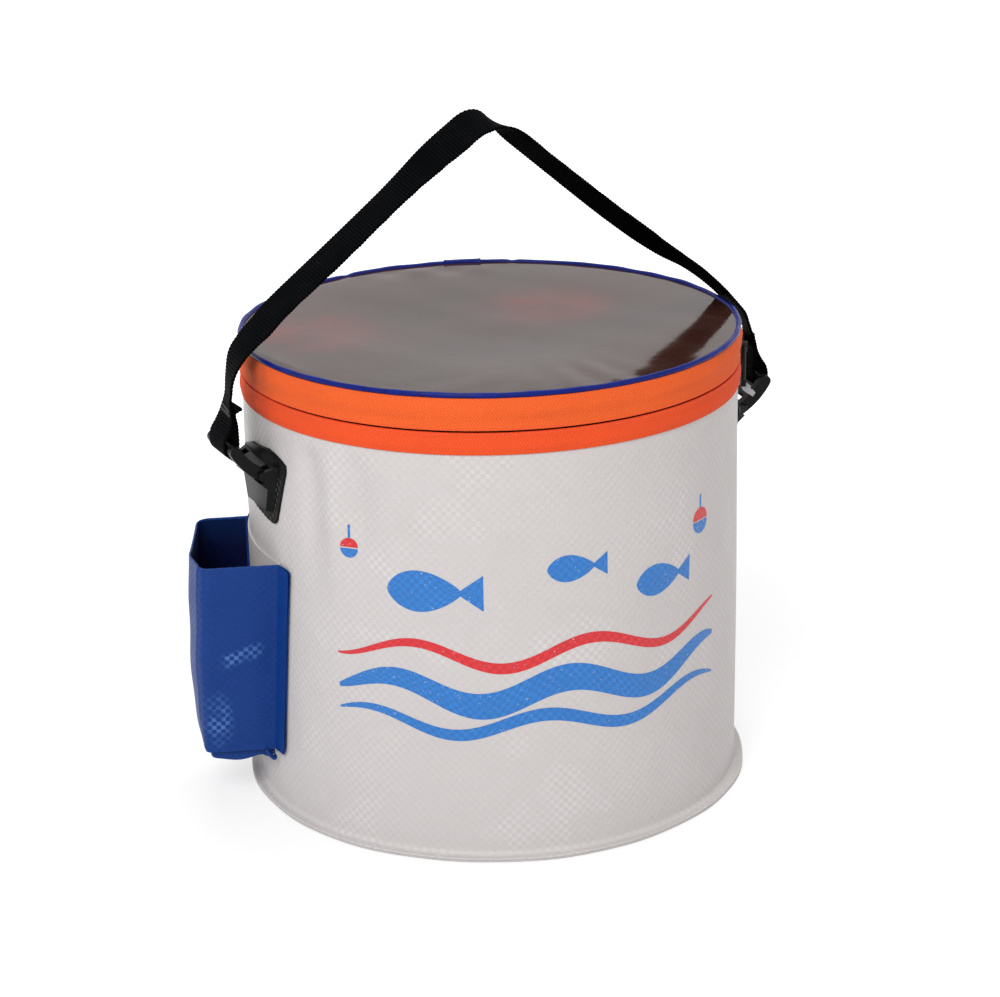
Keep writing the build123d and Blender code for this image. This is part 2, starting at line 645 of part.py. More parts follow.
for name, deg in ANCHOR_DEGS.items():
    save(f"anchor_patch_{name}", anchor_patch(deg))
    save(f"anchor_stitching_{name}", anchor_stitching(deg))
    save(f"anchor_housing_{name}", anchor_housing(deg))
    save(f"strap_ring_{name}", strap_ring(deg))
    save(f"strap_end_{name}", strap_end(deg))
    save(f"strap_tacks_{name}", strap_tacks(deg))
save("strap_arch", strap_arch())

save("pocket_panel", pocket_panel())
save("pocket_back", pocket_back())
save("pocket_base", pocket_base())
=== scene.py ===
"""Looks of a round fishing and bait bag: coated fabric, a zipped lid of film, webbing and a pocket.

Sizes in the functions are millimetres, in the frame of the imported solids: Z is up, the front faces
-Y, and azimuths are degrees from the front, positive towards +X. Meshes are made in metres.
"""

import math

import bmesh
import bpy
import numpy as np
from mathutils import Matrix, Vector


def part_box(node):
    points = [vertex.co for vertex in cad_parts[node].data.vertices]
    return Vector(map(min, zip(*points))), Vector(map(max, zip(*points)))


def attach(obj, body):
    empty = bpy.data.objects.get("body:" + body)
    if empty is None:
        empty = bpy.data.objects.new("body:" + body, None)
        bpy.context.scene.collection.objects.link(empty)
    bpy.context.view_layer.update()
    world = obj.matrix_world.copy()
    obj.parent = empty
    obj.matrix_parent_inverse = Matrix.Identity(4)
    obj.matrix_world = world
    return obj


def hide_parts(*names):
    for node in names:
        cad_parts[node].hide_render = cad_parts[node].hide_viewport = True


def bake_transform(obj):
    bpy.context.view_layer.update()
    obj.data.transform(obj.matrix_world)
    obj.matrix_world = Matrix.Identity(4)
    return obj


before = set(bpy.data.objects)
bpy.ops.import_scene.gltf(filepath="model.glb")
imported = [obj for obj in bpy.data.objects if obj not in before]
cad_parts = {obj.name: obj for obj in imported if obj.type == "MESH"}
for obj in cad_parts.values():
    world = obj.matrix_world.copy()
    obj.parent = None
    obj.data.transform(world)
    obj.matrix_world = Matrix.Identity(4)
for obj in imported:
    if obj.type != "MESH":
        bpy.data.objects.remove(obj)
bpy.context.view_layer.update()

bl_info = {
    "name": "Round fishing bag",
    "version": (1, 0, 0),
    "blender": (4, 5, 0),
    "location": "View3D > Sidebar > Fishing bag",
    "description": "Builds the fabric, zip, film, webbing and fittings of a round fishing bag",
    "category": "Object",
}

MM = 0.001
ANCHORS = {"left": -71.0, "right": 100.5}


def top_of(node):
    """A node's highest point at rest, in metres."""
    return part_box(node)[1][2]


def low_of(node):
    """A node's lowest point at rest, in metres."""
    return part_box(node)[0][2]


# What a user may change


def length(name, description, default):
    """A length property in metres."""
    return bpy.props.FloatProperty(
        name=name, description=description, default=default, min=0.0, unit="LENGTH", precision=4
    )


def colour(name, description, red, green, blue):
    """A colour property from its screen values out of 255."""
    return bpy.props.FloatVectorProperty(
        name=name,
        description=description,
        default=screen_colour(red, green, blue),
        min=0.0,
        max=1.0,
        size=3,
        subtype="COLOR",
    )


def screen_colour(red, green, blue):
    """Screen values out of 255 as the linear values that a shader takes."""
    values = np.array([red, green, blue]) / 255
    linear = np.where(values <= 0.04045, values / 12.92, ((values + 0.055) / 1.055) ** 2.4)
    return tuple(float(v) for v in linear)


class FishingBagSizes(bpy.types.PropertyGroup):
    """Sizes that the pieces are drawn from."""

    radius: length("Bag radius", "Outside of the wall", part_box("zip_coil_lower")[1][0])
    wall_top: length("Wall top", "Height of the wall's upper edge", top_of("wall_panel"))
    lower_tape: length("Lower tape", "Lower edge of the lower zip tape", low_of("zip_tape_lower"))
    zip_low: length("Zip, lower edge", "Upper edge of the lower zip tape", top_of("zip_tape_lower"))
    zip_high: length("Zip, upper edge", "Lower edge of the upper zip tape", low_of("zip_tape_upper"))
    lid_top: length("Lid height", "Top of the lid's film", top_of("lid_window"))
    piping: length("Piping radius", "Radius of the lid's piping", 0.0016)
    strap_width: length("Strap width", "Width of the webbing", 0.025)
    strap_thickness: length("Strap thickness", "Thickness of the webbing", 0.0016)
    check_pitch: length("Check pitch", "Pitch of the checks embossed in the fabric", 0.0028)
    rib_pitch: length("Rib pitch", "Pitch of the webbing's ribs", 0.0021)


class FishingBagColours(bpy.types.PropertyGroup):
    """Colours of the pieces."""

    wall: colour("Wall", "Coated fabric of the wall", 206, 201, 200)
    tape_upper: colour("Upper tape", "Zip tape on the lid", 250, 104, 46)
    tape_lower: colour("Lower tape", "Zip tape on the wall", 248, 88, 42)
    # painted shade in part: the film's dark brown is its smoky tint and also stands for the bag's shaded
    # inside seen through it
    film: colour("Film", "Tinted film of the lid", 66, 38, 31)
    piping: colour("Piping", "Piping round the lid", 9, 27, 108)
    webbing: colour("Webbing", "Carrying strap", 4, 5, 7)
    pocket: colour("Pocket", "Coated fabric of the pocket", 8, 56, 130)
    # painted shade: the dark of the pocket's inside, put on a sheet just inside its sides
    pocket_inside: colour("Pocket inside", "Inner face of the pocket", 1, 7, 50)
    plastic: colour("Fittings", "Moulded anchors and rings", 10, 11, 12)
    grip: colour("Pull grip", "Moulded grip of the zip pulls", 176, 176, 178)
    print_blue: colour("Print, blue", "Blue of the front's print", 35, 118, 198)
    print_red: colour("Print, red", "Red of the front's print", 214, 38, 46)


# Surfaces from arrays


def polar(radius, deg, height):
    """A point r out from the axis at azimuth a: (r sin a, -r cos a, height)."""
    turn = np.radians(deg)
    parts = np.broadcast_arrays(radius * np.sin(turn), -radius * np.cos(turn), height)
    return np.stack(parts, axis=-1)


def smooth_step(value, low, high):
    """0 below low, 1 above high, and 3t^2 - 2t^3 between them."""
    share = np.clip((value - low) / (high - low), 0, 1)
    return share * share * (3 - 2 * share)


def bell(value, middle, half):
    """exp(-((value - middle) / half)^2), a soft swell about its middle."""
    return np.exp(-(((value - middle) / half) ** 2))


def curve_through(points, count):
    """A curve through points: each stretch is the cubic set by its two points and their
    neighbours (Catmull-Rom), and the result is cut again into steps of equal length."""
    points = np.asarray(points, float)
    before = np.vstack([2 * points[:1] - points[1:2], points[:-1]])
    after = np.vstack([points[1:], 2 * points[-1:] - points[-2:-1]])
    slope = (after - before) / 2
    stretches = len(points) - 1
    at = np.linspace(0, stretches, 24 * stretches + 1)
    i = np.minimum(at.astype(int), stretches - 1)
    t = (at - i)[:, None]
    a, b, ma, mb = points[i], points[i + 1], slope[i], slope[i + 1]
    fine = (
        (2 * t**3 - 3 * t**2 + 1) * a
        + (t**3 - 2 * t**2 + t) * ma
        + (3 * t**2 - 2 * t**3) * b
        + (t**3 - t**2) * mb
    )
    run = running_length(fine)
    even = np.linspace(0, run[-1], count)
    return np.stack([np.interp(even, run, fine[:, k]) for k in range(fine.shape[1])], axis=1)


def running_length(points):
    """The length along a line of points up to each of them."""
    steps = np.linalg.norm(np.diff(points, axis=0), axis=-1)
    return np.concatenate([[0], np.cumsum(steps)])


def unit(vectors):
    """Vectors over their own lengths."""
    return vectors / np.maximum(np.linalg.norm(vectors, axis=-1, keepdims=True), 1e-12)


def carry(path, across, out, section):
    """A section carried along a path: point = path + across * x + out * y, for each (x, y)."""
    section = np.asarray(section, float)
    if section.ndim == 2:
        section = np.broadcast_to(section, (len(path), *section.shape))
    return path[:, None] + across[:, None] * section[..., :1] + out[:, None] * section[..., 1:]


def shell(rows, capped=True):
    """Loops of points set one after another. Each is closed on itself, and the first and the last
    are drawn in to their middles, so that the shell has no holes."""
    rows = np.concatenate([rows, rows[:, :1]], axis=1)
    if capped:
        ends = [np.repeat(row.mean(axis=0)[None], rows.shape[1], axis=0) for row in (rows[0], rows[-1])]
        rows = np.concatenate([ends[0][None], rows, ends[1][None]])
    return rows


def flat_section(width, thick, flat=14, edge=4):
    """A strip's section: two straight sides joined by two half circles, as (across, out)."""
    radius = thick / 2
    reach = width / 2 - radius
    x = np.linspace(-reach, reach, flat)
    turn = np.linspace(-math.pi / 2, math.pi / 2, edge + 2)[1:-1]
    right = np.stack([reach + radius * np.cos(turn), radius * np.sin(turn)], axis=1)
    under = np.stack([x, np.full(flat, -radius)], axis=1)
    return np.concatenate([under, right, -under, -right])


def slab_section(inner, outer, low, high, rows, soft=0.35):
    """A strip's section as (radius, height): flat inside, and outside with both corners rounded
    by quarter circles of radius soft."""
    turn = np.linspace(0, math.pi / 2, 4)
    corner = np.stack([outer - soft + soft * np.sin(turn), low + soft - soft * np.cos(turn)], axis=1)
    heights = np.linspace(low + soft, high - soft, rows)[1:-1]
    face = np.stack([np.full(rows - 2, outer), heights], axis=1)
    upper = np.stack([corner[::-1, 0], low + high - corner[::-1, 1]], axis=1)
    back = np.stack([np.full(5, inner), np.linspace(high, low, 5)], axis=1)
    return np.concatenate([corner, face, upper, back])


def round_bag(section, degs, shift=0.0):
    """A section of (radius, height) turned about the bag's axis, with its radii shifted."""
    section = np.asarray(section, float)
    return polar(section[None, :, 0] + shift, np.asarray(degs)[:, None], section[None, :, 1])


def stitch_grid(points, along, out, long, wide, rise):
    """A rounded stitch at each point: the ellipsoid of half axes long, wide and rise, as a grid
    of 5 by 7 points, laid along the seam."""
    up = np.linspace(0, math.pi, 5)[:, None]
    turn = np.linspace(0, 2 * math.pi, 7)[None, :]
    local = np.stack(
        np.broadcast_arrays(np.cos(up), np.sin(up) * np.cos(turn), np.sin(up) * np.sin(turn)), axis=-1
    )
    side = np.cross(out, along)
    axes = np.stack([along * long / 2, side * wide / 2, out * rise], axis=1)
    return points[:, None, None] + np.einsum("uvk,nkc->nuvc", local, axes)


def mesh_of(name, grids):
    """One mesh from grids of points: every cell is a face, its sides measured into a UV map in
    metres. Points that meet are welded, and a closed shell is turned to face outwards."""
    verts, faces, uvs, start = [], [], [], 0
    for grid in grids:
        grid = np.asarray(grid, float) * MM
        many = grid.reshape(-1, *grid.shape[-3:])
        count, rows, columns = many.shape[:3]
        sample = many[0]
        u = np.concatenate([[0], np.cumsum(np.linalg.norm(np.diff(sample, axis=0), axis=2).mean(axis=1))])
        middle = sample[rows // 2]
        v = running_length(middle)
        flat_uv = np.stack(np.meshgrid(u, v, indexing="ij"), axis=-1).reshape(-1, 2)
        index = np.arange(rows * columns).reshape(rows, columns)
        cell = np.stack([index[:-1, :-1], index[1:, :-1], index[1:, 1:], index[:-1, 1:]], axis=-1)
        cell = cell.reshape(-1, 4)
        offsets = (np.arange(count) * rows * columns)[:, None, None]
        faces.append((cell[None] + offsets).reshape(-1, 4) + start)
        verts.append(many.reshape(-1, 3))
        uvs.append(np.tile(flat_uv, (count, 1)))
        start += count * rows * columns
    verts, faces, uvs = np.concatenate(verts), np.concatenate(faces), np.concatenate(uvs)
    mesh = bpy.data.meshes.new(name)
    mesh.from_pydata(verts.astype(np.float32), [], faces.astype(np.int32))
    layer = mesh.uv_layers.new(name="UVMap")
    layer.uv.foreach_set("vector", uvs[faces.ravel()].astype(np.float32).ravel())
    weld(mesh)
    return mesh


def weld(mesh):
    """Merges points that meet, drops what that flattens, and turns a closed shell outwards."""
    shape = bmesh.new()
    shape.from_mesh(mesh)
    bmesh.ops.remove_doubles(shape, verts=shape.verts, dist=2e-6)
    bmesh.ops.dissolve_degenerate(shape, edges=shape.edges, dist=1e-7)
    if shape.calc_volume(signed=True) < 0:
        bmesh.ops.reverse_faces(shape, faces=shape.faces)
    shape.to_mesh(mesh)
    shape.free()


def put(name, mesh, material, body, replaced=(), sharp=40.0):
    """Places a mesh in the scene with its material, on its body. Its edges stay sharp above an
    angle in degrees."""
    mesh.materials.append(material)
    mesh.shade_smooth()
    mesh.set_sharp_from_angle(angle=math.radians(sharp))
    piece = bpy.data.objects.new(name, mesh)
    bpy.context.scene.collection.objects.link(piece)
    if body:
        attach(piece, body)
    if replaced:
        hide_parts(*replaced)
    return piece


def drawn(name, grids, look, body, replaced=(), sharp=40.0):
    """Places a piece made of grids of points, in a finish of this bag."""
    return put(name, mesh_of(name, grids), finish(look), body, replaced, sharp)


def softened(name, node, width, look, body):
    """A merged copy of a rigid node, its flat faces joined again and its edges rounded."""
    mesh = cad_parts[node].data.copy()
    mesh.materials.clear()
    shape = bmesh.new()
    shape.from_mesh(mesh)
    bmesh.ops.remove_doubles(shape, verts=shape.verts, dist=1e-6)
    bmesh.ops.dissolve_limit(shape, angle_limit=math.radians(1.0), verts=shape.verts, edges=shape.edges)
    shape.to_mesh(mesh)
    shape.free()
    piece = put(name, mesh, finish(look), body, (node,))
    rounding = piece.modifiers.new("Rounded edges", "BEVEL")
    rounding.width = width * MM
    rounding.segments = 3
    rounding.limit_method = "ANGLE"
    rounding.angle_limit = math.radians(32)
    rounding.harden_normals = False


# Finishes

# Pitches of the tapes' weave, the webbing's yarns and the pocket's ribs, in metres
TAPE_RIB = 0.0019
TAPE_ROW = 0.0036
YARN_PITCH = 0.0011
POCKET_RIB = 0.0011
# Screen colours out of 255 that aren't among the colours a user may change
SMUDGE = (120, 96, 78)
POCKET_SMUDGE = (40, 70, 130)
POCKET_SHADE_SMUDGE = (16, 22, 46)
# painted highlight: the pale blue of the pocket's brightest raised checks
POCKET_GLINT = (92, 136, 206)
LINT = (24, 23, 23)
# painted reflection: the reddish spots on the film
REFLECTION_RED = (128, 34, 26)
FILM_DUST = (84, 68, 63)
BARE_FABRIC = (205, 200, 200)
COIL = (255, 62, 36)
SEAM_THREAD = (244, 82, 40)
BLACK_THREAD = (34, 33, 33)
SLIDER_METAL = (44, 44, 46)
# The height where a pull's grip changes colour at rest, and where the painted shade inside the pocket turns
# paler
GRIP_SPLIT = 0.237
POCKET_SHADE_FADE = (0.136, 0.163)
# The film's painted reddish reflections, in metres: (middle, full within, gone beyond)
REFLECTION_SPOTS = [((-0.110, 0.0, 0.283), 0.02, 0.062), ((0.040, 0.040, 0.283), 0.012, 0.056)]
# The pocket's painted check highlights, in metres: a spot with its stretch and its fade, a streak
# with its rise along x, its level at x = 0, its edges and its start, and where both fade out in y and in x
GLINT_SPOT = (-0.1755, 0.0, 0.059)
GLINT_STRETCH = (2.2, 0.0, 1.0)
GLINT_REACH = (0.006, 0.024)
STREAK_RISE = 0.356
STREAK_LEVEL = 0.1596
STREAK_EDGES = (0.0025, 0.0065)
STREAK_START = (-0.176, -0.168)
GLINT_FRONT = (-0.05, -0.045)
GLINT_INWARDS = (-0.149, -0.144)


class Board:
    """A node tree with short ways to add nodes to it."""

    def __init__(self, tree):
        self.tree = tree

    def feed(self, socket, value):
        """Links another socket to this one, or sets its value."""
        if isinstance(value, bpy.types.NodeSocket):
            self.tree.links.new(value, socket)
        elif value is not None:
            socket.default_value = value

    def node(self, kind, props=None, inputs=None):
        """A new node with its settings and its inputs."""
        made = self.tree.nodes.new(kind)
        for key, value in (props or {}).items():
            setattr(made, key, value)
        for key, value in (inputs or {}).items():
            self.feed(made.inputs[key], value)
        return made

    def math(self, operation, *values):
        """The result of an operation on numbers."""
        made = self.node("ShaderNodeMath", {"operation": operation})
        for socket, value in zip(made.inputs, values):
            self.feed(socket, value)
        return made.outputs[0]

    def spread(self, value, low, high, to_low=0.0, to_high=1.0):
        """A value from low to high mapped smoothly to another range."""
        props = {"interpolation_type": "SMOOTHSTEP"}
        made = self.node("ShaderNodeMapRange", props, {"Value": value})
        for key, number in (("From Min", low), ("From Max", high), ("To Min", to_low), ("To Max", to_high)):
            made.inputs[key].default_value = number
        return made.outputs["Result"]

    def vector(self, operation, first, second=None, output="Vector"):
        """The result of an operation on vectors."""
        inputs = {0: first, 1: second}
        return self.node("ShaderNodeVectorMath", {"operation": operation}, inputs).outputs[output]

    def mix(self, factor, first, second):
        """The first colour at a factor of 0 and the second at 1."""
        made = self.node("ShaderNodeMix", {"data_type": "RGBA"})
        self.feed(made.inputs[0], factor)
        self.feed(made.inputs[6], first)
        self.feed(made.inputs[7], second)
        return made.outputs[2]

    def noise(self, vector, scale, detail=3.0, roughness=0.5):
        """Cloudy values from 0 to 1, finer with a larger scale."""
        inputs = {"Vector": vector, "Scale": scale, "Detail": detail, "Roughness": roughness}
        return self.node("ShaderNodeTexNoise", None, inputs).outputs["Fac"]

    def split(self, vector):
        """The three parts of a vector."""
        return self.node("ShaderNodeSeparateXYZ", None, {"Vector": vector}).outputs

    def bump(self, height, strength, distance):
        """Normals tilted as by a height, at a depth in metres."""
        inputs = {"Height": height, "Strength": strength, "Distance": distance}
        return self.node("ShaderNodeBump", None, inputs).outputs["Normal"]

    def group(self, tree, inputs):
        """The outputs of a shared node group."""
        return self.node("ShaderNodeGroup", {"node_tree": tree}, inputs).outputs


def new_group(name, inputs, outputs):
    """An empty node group with its sockets, and the board to fill it on."""
    tree = bpy.data.node_groups.new(name, "ShaderNodeTree")
    for label, kind, default in inputs:
        socket = tree.interface.new_socket(name=label, in_out="INPUT", socket_type=kind)
        if default is not None:
            socket.default_value = default
    for label, kind in outputs:
        tree.interface.new_socket(name=label, in_out="OUTPUT", socket_type=kind)
    board = Board(tree)
    start = tree.nodes.new("NodeGroupInput").outputs
    end = tree.nodes.new("NodeGroupOutput").inputs
    return tree, board, start, end


def embossed_checks():
    """Raised and sunk checks: the product of two sine waves, across and along, made steeper,
    over a fine leathery grain."""
    tree, board, start, end = new_group(
        "Embossed checks",
        [("Vector", "NodeSocketVector", None), ("Pitch", "NodeSocketFloat", 0.0028)],
        [("Height", "NodeSocketFloat"), ("Checks", "NodeSocketFloat")],
    )
    x, y, _ = board.split(start["Vector"])
    waves = [
        board.math("SINE", board.math("MULTIPLY", board.math("DIVIDE", part, start["Pitch"]), math.pi))
        for part in (x, y)
    ]
    checks = board.spread(board.math("MULTIPLY", *waves), -0.3, 0.3)
    wear = board.noise(start["Vector"], 45.0, 2.0)
    checks = board.math("MULTIPLY", checks, board.spread(wear, 0.2, 0.75, 0.35, 1.0))
    grain = board.noise(start["Vector"], 2600.0, 3.0, 0.6)
    height = board.math("ADD", board.math("MULTIPLY", checks, 0.7), board.math("MULTIPLY", grain, 0.3))
    board.feed(end["Height"], height)
    board.feed(end["Checks"], checks)
    return tree


def herringbone():
    """A zigzag twill: a sine wave along the tape whose phase runs to and fro across it."""
    tree, board, start, end = new_group(
        "Herringbone weave",
        [
            ("Vector", "NodeSocketVector", None),
            ("Rib", "NodeSocketFloat", TAPE_RIB),
            ("Row", "NodeSocketFloat", TAPE_ROW),
        ],
        [("Height", "NodeSocketFloat"), ("Yarn", "NodeSocketFloat")],
    )
    x, y, _ = board.split(start["Vector"])
    zigzag = board.math("PINGPONG", y, start["Row"])
    run = board.math("DIVIDE", board.math("ADD", x, zigzag), start["Rib"])
    rib = board.math("SINE", board.math("MULTIPLY", run, 2 * math.pi))
    rib = board.math("MULTIPLY_ADD", rib, 0.5, 0.5)
    fray = board.noise(start["Vector"], 1800.0, 2.0)
    board.feed(end["Height"], board.math("MULTIPLY_ADD", fray, 0.35, rib))
    board.feed(end["Yarn"], board.math("MULTIPLY", rib, board.spread(fray, 0.3, 0.7, 0.6, 1.0)))
    return tree


def webbing_weave():
    """Cross ribs of webbing: a sine wave along its run, broken by the yarns that cross it."""
    tree, board, start, end = new_group(
        "Webbing weave",
        [("Vector", "NodeSocketVector", None), ("Rib", "NodeSocketFloat", 0.0021)],
        [("Height", "NodeSocketFloat"), ("Yarn", "NodeSocketFloat")],
    )
    x, y, _ = board.split(start["Vector"])
    rib = board.math("SINE", board.math("MULTIPLY", board.math("DIVIDE", x, start["Rib"]), 2 * math.pi))
    yarn = board.math("SINE", board.math("MULTIPLY", y, 2 * math.pi / YARN_PITCH))
    cross = board.math("MULTIPLY_ADD", yarn, 0.25, board.math("MULTIPLY", rib, 0.55))
    fuzz = board.noise(start["Vector"], 2200.0, 3.0, 0.65)
    level = board.math("MULTIPLY_ADD", cross, 0.5, 0.5)
    height = board.math("ADD", level, board.math("MULTIPLY", fuzz, 0.4))
    board.feed(end["Height"], height)
    board.feed(end["Yarn"], board.spread(height, 0.2, 1.2))
    return tree


def moulded_grain():
    """Fine spark-eroded grain of a moulding, with slow sink marks and scuffs."""
    tree, board, start, end = new_group(
        "Moulded grain",
        [("Vector", "NodeSocketVector", None)],
        [("Height", "NodeSocketFloat"), ("Scuffs", "NodeSocketFloat")],
    )
    fine = board.noise(start["Vector"], 3200.0, 2.0, 0.6)
    slow = board.noise(start["Vector"], 60.0, 2.0)
    board.feed(end["Height"], board.math("MULTIPLY_ADD", slow, 0.6, fine))
    scuff = board.noise(start["Vector"], 380.0, 5.0, 0.7)
    board.feed(end["Scuffs"], board.spread(scuff, 0.56, 0.74))
    return tree


def soiling():
    """Faint dust and smudges: three sizes of noise, thinned to patches."""
    tree, board, start, end = new_group(
        "Soiling",
        [("Vector", "NodeSocketVector", None), ("Amount", "NodeSocketFloat", 0.5)],
        [("Dust", "NodeSocketFloat"), ("Smudges", "NodeSocketFloat")],
    )
    wide = board.noise(start["Vector"], 9.0, 4.0, 0.55)
    near = board.noise(start["Vector"], 48.0, 5.0, 0.62)
    fine = board.noise(start["Vector"], 900.0, 3.0, 0.6)
    dust = board.math("MULTIPLY", board.spread(near, 0.42, 0.75), board.spread(fine, 0.35, 0.7))
    smudge = board.math("MULTIPLY", board.spread(wide, 0.5, 0.72), board.spread(near, 0.4, 0.7))
    board.feed(end["Dust"], board.math("MULTIPLY", dust, start["Amount"]))
    board.feed(end["Smudges"], board.math("MULTIPLY", smudge, start["Amount"]))
    return tree


# Node groups that the finishes share, by name
GROUPS = {
    "checks": embossed_checks,
    "herringbone": herringbone,
    "webbing": webbing_weave,
    "grain": moulded_grain,
    "soiling": soiling,
}
# Groups and finishes made so far, by name
made_groups = {}
made_finishes = {}


def group_of(name):
    """A shared node group, made when it is first asked for."""
    if name not in made_groups:
        made_groups[name] = GROUPS[name]()
    return made_groups[name]


def blank(name):
    """A new material with its board, its shader and its two kinds of coordinates."""
    made = bpy.data.materials.new(name)
    made.use_nodes = True
    board = Board(made.node_tree)
    shader = made.node_tree.nodes["Principled BSDF"]
    places = board.node("ShaderNodeTexCoord").outputs
    return made, board, shader, places["Object"], places["UV"]


def rgba(values):
    """A colour property as a shader socket takes it."""
    return (*values, 1.0)


def shade(values, share):
    """A colour made darker or lighter by a share."""
    return tuple(min(1.0, v * share) for v in values)


def painted_glint_places(board, place):
    """Where the pocket's checks get a painted highlight: low on its front, and along a slanting
    streak across it, both broken up by noise."""
    x, y, z = board.split(place)
    off = board.vector("MULTIPLY", board.vector("SUBTRACT", place, GLINT_SPOT), GLINT_STRETCH)
    low = board.spread(board.vector("LENGTH", off, output="Value"), *GLINT_REACH, 1.0, 0.0)
    line = board.math("MULTIPLY_ADD", x, STREAK_RISE, STREAK_LEVEL)
    off = board.math("ABSOLUTE", board.math("SUBTRACT", z, line))
    streak = board.spread(off, *STREAK_EDGES, 1.0, 0.0)
    streak = board.math("MULTIPLY", streak, board.spread(x, *STREAK_START))
    front = board.spread(y, *GLINT_FRONT, 1.0, 0.0)
    front = board.math("MULTIPLY", front, board.spread(x, *GLINT_INWARDS, 1.0, 0.0))
    both = board.math("MULTIPLY", board.math("MAXIMUM", low, streak), front)
    broken = board.spread(board.noise(place, 160.0, 2.0), 0.36, 0.6, 0.3, 1.0)
    return board.math("MULTIPLY", both, broken)


def coated_fabric(
    name, tint, pitch, relief, rough=0.42, gleam=0.35, ribs=0.0, wear_and_rib_light=0.3, marks=SMUDGE, bright=0.0,
    glint=None,
):
    """PVC coated cloth: embossed checks, slow colour changes, dust in the hollows and smudges.
    With ribs above 0, fine level ribs run across the checks. With bright above 0, the raised
    checks are painted paler in patches as a painted highlight: in the glint places where a glint
    colour is given, and in clouds elsewhere."""
    made, board, shader, place, own = blank(name)
    checks = board.group(group_of("checks"), {"Vector": own, "Pitch": pitch})
    soil = board.group(group_of("soiling"), {"Vector": place, "Amount": wear_and_rib_light})
    slow = board.noise(place, 14.0, 3.0)
    body = board.mix(board.spread(slow, 0.3, 0.7), rgba(shade(tint, 0.93)), rgba(shade(tint, 1.04)))
    raised = board.mix(board.math("MULTIPLY", checks["Checks"], 0.6), rgba(shade(tint, 0.92)), body)
    # painted highlight: where bright is above 0, the raised checks are made paler in patches
    if bright > 0:
        if glint:
            patches = painted_glint_places(board, place)
        else:
            patches = board.spread(board.noise(place, 24.0, 2.0), 0.54, 0.64)
        lit = board.math("MULTIPLY", board.math("MULTIPLY", patches, checks["Checks"]), bright)
        raised = board.mix(lit, raised, rgba(glint or shade(tint, 1.9)))
    dusty = board.mix(soil["Dust"], raised, rgba(shade(tint, 0.72)))
    board.feed(shader.inputs["Base Color"], board.mix(soil["Smudges"], dusty, rgba(screen_colour(*marks))))
    height = checks["Height"]
    if ribs > 0:
        _, _, level = board.split(place)
        rib = board.math("SINE", board.math("MULTIPLY", level, 2 * math.pi / ribs))
        height = board.math("MULTIPLY_ADD", rib, 0.35, height)
    board.feed(shader.inputs["Normal"], board.bump(height, relief, 0.0004))
    gloss = board.math("MULTIPLY_ADD", checks["Checks"], -0.1, rough + 0.05)
    board.feed(shader.inputs["Roughness"], board.math("MULTIPLY_ADD", soil["Dust"], 0.3, gloss))
    shader.inputs["Specular IOR Level"].default_value = gleam
    return made


def woven_tape(name, tint, dark):
    """Herringbone tape: darker between its ribs, with dust and a soft sheen."""
    made, board, shader, place, own = blank(name)
    weave = board.group(group_of("herringbone"), {"Vector": own, "Rib": TAPE_RIB, "Row": TAPE_ROW})
    soil = board.group(group_of("soiling"), {"Vector": place, "Amount": 0.35})
    slow = board.noise(place, 22.0, 3.0)
    yarn = board.mix(board.spread(slow, 0.3, 0.7), rgba(shade(tint, 0.92)), rgba(shade(tint, 1.06)))
    cloth = board.mix(weave["Yarn"], rgba(dark), yarn)
    board.feed(shader.inputs["Base Color"], board.mix(soil["Smudges"], cloth, rgba(shade(dark, 0.8))))
    board.feed(shader.inputs["Normal"], board.bump(weave["Height"], 0.6, 0.0004))
    board.feed(shader.inputs["Roughness"], board.math("MULTIPLY_ADD", weave["Yarn"], -0.12, 0.78))
    shader.inputs["Sheen Weight"].default_value = 0.03
    shader.inputs["Sheen Roughness"].default_value = 0.5
    shader.inputs["Specular IOR Level"].default_value = 0.12
    return made


def ribbed_webbing(name, tint, rib):
    """Black webbing with lint: its raised ribs and yarns are painted paler, a painted highlight where light
    catches them, and the gaps between them painted darker, painted shade.
    """
    made, board, shader, place, own = blank(name)
    weave = board.group(group_of("webbing"), {"Vector": own, "Rib": rib})
    soil = board.group(group_of("soiling"), {"Vector": place, "Amount": 0.5})
    # painted highlight on the raised ribs and yarns, painted shade in the gaps between them
    wear_and_rib_light = board.mix(weave["Yarn"], rgba(shade(tint, 0.3)), rgba(shade(tint, 1.3)))
    board.feed(shader.inputs["Base Color"], board.mix(soil["Dust"], wear_and_rib_light, rgba(screen_colour(*LINT))))
    board.feed(shader.inputs["Normal"], board.bump(weave["Height"], 0.8, 0.0005))
    board.feed(shader.inputs["Roughness"], board.math("MULTIPLY_ADD", weave["Yarn"], -0.18, 0.72))
    shader.inputs["Specular IOR Level"].default_value = 0.012
    return made


def moulded_plastic(name, tint, rough=0.36, relief=0.12, gleam=0.11):
    """Moulded fitting: fine grain, and paler scuffs that are also less glossy."""
    made, board, shader, place, _ = blank(name)
    grain = board.group(group_of("grain"), {"Vector": place})
    soil = board.group(group_of("soiling"), {"Vector": place, "Amount": 0.4})
    scuffed = board.mix(board.math("MULTIPLY", grain["Scuffs"], 0.35), rgba(tint), rgba(shade(tint, 2.2)))
    board.feed(shader.inputs["Base Color"], board.mix(soil["Dust"], scuffed, rgba(shade(tint, 3.0))))
    board.feed(shader.inputs["Normal"], board.bump(grain["Height"], relief, 0.0002))
    board.feed(shader.inputs["Roughness"], board.math("MULTIPLY_ADD", grain["Scuffs"], 0.2, rough))
    shader.inputs["Specular IOR Level"].default_value = gleam
    return made


